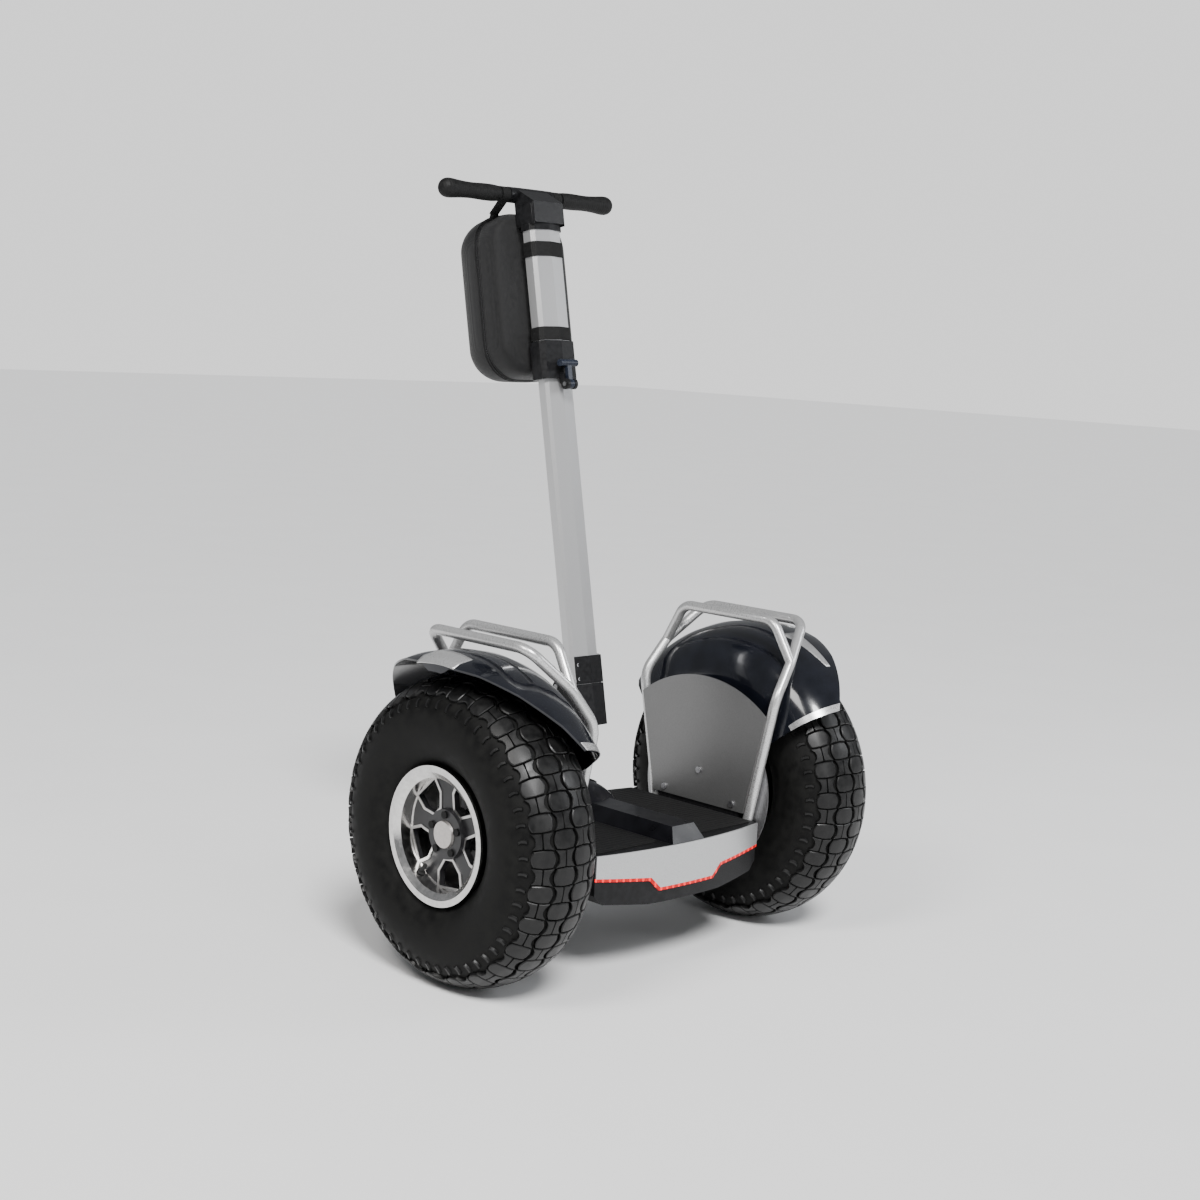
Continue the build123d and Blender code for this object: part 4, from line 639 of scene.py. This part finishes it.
def on_fender(side, angle, share):
    """Point on the fender's skin, angle forward of the top and share along its profile."""
    run = share * (len(fender_profile) - 1)
    first = min(int(run), len(fender_profile) - 2)
    (x0, r0), (x1, r1) = fender_profile[first], fender_profile[first + 1]
    out = x0 + (x1 - x0) * (run - first)
    radial = r0 + (r1 - r0) * (run - first)
    length = sqrt((x1 - x0) ** 2 + (r1 - r0) ** 2)
    out += (r1 - r0) / length * flash_lift
    radial += (x1 - x0) / length * flash_lift
    return side * out, radial * sin(radians(angle)), wheel_height + radial * cos(radians(angle))


# each flash, and the painted highlight on the right fender's rear: its side, angles forward of
# the top, shares along the profile, width at the rear
flashes_and_highlight = (
    ("fender_flash_left", -1, (-9, 9), (0.735, 0.93), 0.75),
    ("fender_flash_front_right", 1, (-9, 9), (0.735, 0.93), 0.75),
    # painted highlight: a silver strip on the right fender's rear, where the gloss skin shows a highlight
    ("fender_painted_highlight_right", 1, (-36, -15), (0.64, 0.72), 0.25),
)
for flash_name, side, angles, shares, taper in flashes_and_highlight:
    bpy.ops.object.select_all(action="DESELECT")
    bpy.ops.mesh.primitive_grid_add(x_subdivisions=16, y_subdivisions=8, size=2)
    flash = new_piece(flash_name)
    for point in flash.data.vertices:
        along = (point.co.x + 1) / 2
        narrow = taper + (1 - taper) * along
        middle = (shares[0] + shares[1]) / 2
        share = middle + (shares[1] - shares[0]) / 2 * point.co.y * narrow
        point.co = on_fender(side, angles[0] + (angles[1] - angles[0]) * along, share)
    edit(flash)
    close_up(flash, 50)
    foil = flash.modifiers.new("foil", "SOLIDIFY")
    foil.thickness = 0.0012
    foil.offset = 0
    bpy.ops.object.modifier_apply(modifier="foil")
    flash.data.materials.append(tube_paint)
    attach(flash, "chassis")

# Steering stem: an extruded aluminium tube with two ridged faces slides in a wider one. It
# folds on a cast block at the foot, where a plain cover plate is held by two small screws.
tube_silver = worked_finish(
    "stem_silver", (0.52, 0.52, 0.525), (0.56, 0.56, 0.565), 900, (0.28, 0.34), 0.7, 0.012, 3500
)
cover_black = worked_finish(
    "cover_black", (0.005, 0.005, 0.0055), (0.011, 0.011, 0.012), 150, (0.3, 0.42),
    relief=0.1, skin=2000,
)
boot_rubber = worked_finish(
    "boot_rubber", (0.012, 0.012, 0.012), (0.024, 0.024, 0.024), 200, (0.5, 0.65), relief=0.15
)
dress(tube_silver, "lower_tube", "upper_tube", "fold_sleeve")
dress(cover_black, "fold_cover", "clamp_collar", "head_block")
dress(cast_black, "fold_base")
dress(turned_steel, "neck", "fold_pin", "clamp_pin", "fold_latch")
dress(boot_rubber, "neck_cover")
lever_black = worked_finish(
    "lever_blue_black", (0.01, 0.013, 0.022), (0.02, 0.025, 0.038), 200, (0.22, 0.35), relief=0.05
)
dress(lever_black, "clamp_lever")
stem_lean = radians(11.8)
stem_foot = (0, 0.1017, 0.470)
cover_screw_heights = (0.011, 0.037)


def onto_stem(piece):
    """Tips a piece made upright beside the stem's foot into line with the stem."""
    bpy.ops.object.select_all(action="DESELECT")
    piece.select_set(True)
    bpy.context.view_layer.objects.active = piece
    piece.rotation_euler = (-stem_lean, 0, 0)
    piece.location = stem_foot
    bpy.ops.object.transform_apply(location=True, rotation=True, scale=True)


def pick_faces(piece, direction):
    """Opens a piece for editing with the faces that look one way selected."""
    edit(piece, "DESELECT")
    bpy.ops.object.mode_set(mode="OBJECT")
    for face in piece.data.polygons:
        face.select = face.normal.dot(Vector(direction)) > 0.9
    bpy.ops.object.mode_set(mode="EDIT")
    bpy.ops.mesh.select_mode(type="FACE")


for order, along in enumerate(cover_screw_heights):
    bpy.ops.object.select_all(action="DESELECT")
    bpy.ops.mesh.primitive_cylinder_add(
        vertices=20, radius=0.0032, depth=0.0016, location=(-0.0265, -0.0192, along),
        rotation=(pi / 2, 0, 0),
    )
    screw = new_piece(f"cover_screw_{order}")
    pick_faces(screw, (0, -1, 0))
    bpy.ops.mesh.inset(thickness=0.0012, depth=0.0004)
    bpy.ops.mesh.inset(thickness=0.0006, depth=-0.0009)
    bpy.ops.mesh.select_mode(type="VERT")
    close_up(screw, 30)
    onto_stem(screw)
    screw.data.materials.append(zinc)
    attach(screw, "stem_lower")

# Handlebar: a black anodised tube held in the stem's head block, with moulded rubber grips
# whose ends flare.
bar_black = worked_finish(
    "anodised_bar", (0.02, 0.02, 0.021), (0.035, 0.035, 0.037), 250, (0.3, 0.4), 0.6, 0.05
)
grip_rubber = worked_finish(
    "grip_rubber", (0.004, 0.004, 0.004), (0.009, 0.009, 0.009), 180, (0.5, 0.65), relief=0.2
)
ribbed(grip_rubber, "X", 190, 0.0008, 0.35)
dress(bar_black, "handlebar")
dress(grip_rubber, "grips")

# Head cheeks: thin moulded plastic covers snapped over the head's two sides, black like the
# head. They hide the sides of the upper tube where it passes up through the head.
for side, side_name in sides:
    bpy.ops.object.select_all(action="DESELECT")
    bpy.ops.mesh.primitive_cube_add(
        size=1, location=(side * 0.0378, -0.001, 0.8715), scale=(0.0016, 0.047, 0.0415)
    )
    cheek = new_piece(f"head_cheek_{side_name}")
    pick_faces(cheek, (side, 0, 0))
    bpy.ops.mesh.inset(thickness=0.0035, depth=0)
    bpy.ops.mesh.extrude_region_move(TRANSFORM_OT_translate={"value": (side * 0.0008, 0, 0)})
    bpy.ops.mesh.select_mode(type="VERT")
    close_up(cheek, 30)
    rounding = cheek.modifiers.new("rounding", "BEVEL")
    rounding.width = 0.0006
    rounding.segments = 2
    bpy.ops.object.modifier_apply(modifier="rounding")
    onto_stem(cheek)
    cheek.data.materials.append(cover_black)
    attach(cheek, "stem_upper")

# Bag: a moulded foam shell covered in black woven cloth, closed by a zip all round. It hangs
# from webbing loops on the bar and is strapped to the upper tube.
bag_half_width = 0.093
bag_half_height = 0.1545
bag_middle = 0.7315
bag_corner = 0.066
corner_steps = 12
outline_points = 4 * (corner_steps + 1)
bag_stations_back = (
    (0.0272, 0.086), (0.0272, 0.060), (0.0272, 0.034), (0.0275, 0.016), (0.030, 0.010), (0.036, 0.0045),
    (0.046, 0.0018), (0.062, 0.0004), (0.0775, 0.0), (0.0797, 0.0016),
)
bag_stations_front = (
    (0.0805, 0.0016), (0.0825, 0.0), (0.096, 0.0002), (0.112, 0.0015), (0.127, 0.0055), (0.140, 0.0125),
    (0.149, 0.0215), (0.1545, 0.033), (0.157, 0.046), (0.158, 0.060), (0.1584, 0.074), (0.1585, 0.087),
)


def bag_outline(inset):
    """Corner points round the bag, seen from the front, shrunk by inset."""
    wide = bag_half_width - inset
    high = bag_half_height - inset
    corner = min(max(bag_corner - inset, 0.5 * wide), wide)
    points = []
    for quarter, (cx, cz) in enumerate(((1, 1), (-1, 1), (-1, -1), (1, -1))):
        for step in range(corner_steps + 1):
            angle = radians(90 * quarter + 90 * step / corner_steps)
            over = cx * (wide - corner) + corner * cos(angle)
            points.append((over, cz * (high - corner) + corner * sin(angle)))
    return points


def bag_half(name, stations):
    """One half of the bag's shell, extruded from ring to ring; the caller fills one end."""
    bpy.ops.object.select_all(action="DESELECT")
    bpy.ops.mesh.primitive_circle_add(vertices=outline_points, radius=1)
    half = new_piece(name)
    depth, inset = stations[0]
    for point, (over, up) in zip(half.data.vertices, bag_outline(inset)):
        point.co = (over, depth, bag_middle + up)
    edit(half)
    for station in stations[1:]:
        bpy.ops.mesh.extrude_region_move(TRANSFORM_OT_translate={"value": (0, 0, 0)})
        bpy.ops.object.mode_set(mode="OBJECT")
        moved = [point for point in half.data.vertices if point.select]
        for point, (over, up) in zip(moved, bag_outline(station[1])):
            point.co = (over, station[0], bag_middle + up)
        bpy.ops.object.mode_set(mode="EDIT")
    return half


def woven(finish, threads, strength):
    """Adds a plain weave of crossing threads to a finish's relief."""
    nodes = finish.node_tree.nodes
    links = finish.node_tree.links
    last = nodes["bump"].outputs["Normal"]
    for direction in ("X", "Z"):
        thread = nodes.new("ShaderNodeTexWave")
        thread.bands_direction = direction
        thread.inputs["Scale"].default_value = threads * 2 * pi / 20
        thread.inputs["Distortion"].default_value = 0.6
        links.new(nodes["place"].outputs["Object"], thread.inputs["Vector"])
        thread_bump = nodes.new("ShaderNodeBump")
        thread_bump.inputs["Strength"].default_value = strength
        thread_bump.inputs["Distance"].default_value = 0.0006
        links.new(thread.outputs["Fac"], thread_bump.inputs["Height"])
        links.new(last, thread_bump.inputs["Normal"])
        last = thread_bump.outputs["Normal"]
    links.new(last, nodes["Principled BSDF"].inputs["Normal"])


bag_cloth = worked_finish(
    "bag_cloth", (0.0035, 0.0035, 0.004), (0.009, 0.009, 0.0095), 120, (0.5, 0.68),
    relief=0.2, skin=1500,
)
adjust(bag_cloth, "Sheen Weight", 0.15)
woven(bag_cloth, 700, 0.35)
for half_name, stations, body, node in (
    ("bag_back", bag_stations_back, "stem_upper", "bag_shell"),
    ("bag_front", bag_stations_front, "lid", "bag_lid"),
):
    half = bag_half(half_name, stations)
    if node == "bag_shell":
        bpy.ops.object.mode_set(mode="OBJECT")
        for point in half.data.vertices:
            point.select = abs(point.co.x) < 0.0075
        bpy.ops.object.mode_set(mode="EDIT")
    bpy.ops.mesh.edge_face_add()
    close_up(half, 60)
    cloth_wall = half.modifiers.new("cloth_wall", "SOLIDIFY")
    cloth_wall.thickness = 0.003
    cloth_wall.offset = -1
    bpy.ops.object.modifier_apply(modifier="cloth_wall")
    softer = half.modifiers.new("softer", "SUBSURF")
    softer.levels = 1
    softer.render_levels = 1
    bpy.ops.object.modifier_apply(modifier="softer")
    onto_stem(half)
    half.data.materials.append(bag_cloth)
    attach(half, body)
    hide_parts(node)

zip_black = worked_finish(
    "zip_black", (0.006, 0.006, 0.0065), (0.016, 0.016, 0.017), 600, (0.3, 0.45), 0.3, 0.2
)
ribbed(zip_black, "Z", 260, 0.001, 0.7)
for bead_name, depth, thickness, body in (
    ("bag_piping_back", 0.0745, 0.0016, "stem_upper"),
    ("bag_zip", 0.0793, 0.0019, "stem_upper"),
    ("bag_piping_front", 0.0862, 0.0016, "lid"),
):
    bpy.ops.object.select_all(action="DESELECT")
    bpy.ops.mesh.primitive_circle_add(vertices=outline_points, radius=1)
    bead = new_piece(bead_name)
    for point, (over, up) in zip(bead.data.vertices, bag_outline(0.0004)):
        point.co = (over, depth, bag_middle + up)
    bpy.ops.object.convert(target="CURVE")
    bead.data.bevel_depth = thickness
    bead.data.bevel_resolution = 3
    bpy.ops.object.convert(target="MESH")
    bead = bpy.context.object
    edit(bead)
    close_up(bead, 60)
    onto_stem(bead)
    bead.data.materials.append(zip_black if bead_name == "bag_zip" else bag_cloth)
    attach(bead, body)

webbing = worked_finish(
    "black_webbing", (0.004, 0.004, 0.004), (0.01, 0.01, 0.01), 300, (0.55, 0.7), relief=0.2
)
woven(webbing, 450, 0.5)
dress(webbing, "bag_straps")
tail_spacing = 0.064
webbing_half_width = 0.0095
loop_tail = ((0.0525, 0.886), (0.0545, 0.879), (0.0580, 0.8735), (0.0640, 0.8715), (0.0720, 0.8712))
for side, side_name in sides:
    bpy.ops.object.select_all(action="DESELECT")
    bpy.ops.mesh.primitive_grid_add(x_subdivisions=1, y_subdivisions=1, size=1)
    tail = new_piece(f"bag_loop_tail_{side_name}")
    for point, over in zip(tail.data.vertices, (-1, 1, -1, 1)):
        row = 0 if point.index < 2 else 1
        depth, up = loop_tail[row]
        point.co = (side * tail_spacing + over * webbing_half_width, depth, up)
    edit(tail, "DESELECT")
    bpy.ops.object.mode_set(mode="OBJECT")
    for point in tail.data.vertices:
        point.select = point.index >= 2
    for (y0, t0), (y1, t1) in zip(loop_tail[1:], loop_tail[2:]):
        bpy.ops.object.mode_set(mode="EDIT")
        bpy.ops.mesh.extrude_region_move(TRANSFORM_OT_translate={"value": (0, y1 - y0, t1 - t0)})
        bpy.ops.object.mode_set(mode="OBJECT")
    bpy.ops.object.mode_set(mode="EDIT")
    close_up(tail, 60)
    strap_wall = tail.modifiers.new("strap_wall", "SOLIDIFY")
    strap_wall.thickness = 0.002
    strap_wall.offset = 0
    bpy.ops.object.modifier_apply(modifier="strap_wall")
    onto_stem(tail)
    tail.data.materials.append(webbing)
    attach(tail, "stem_upper")

# Parking stand: bent steel tube in black powder coat, pinned in lugs under the tub. Folded
# down, it stands in front of the axle and holds the scooter upright.
stand_coat = worked_finish(
    "stand_powder_coat", (0.012, 0.012, 0.012), (0.024, 0.024, 0.024), 200, (0.4, 0.55),
    relief=0.25, skin=1600,
)
dress(stand_coat, "parking_stand")
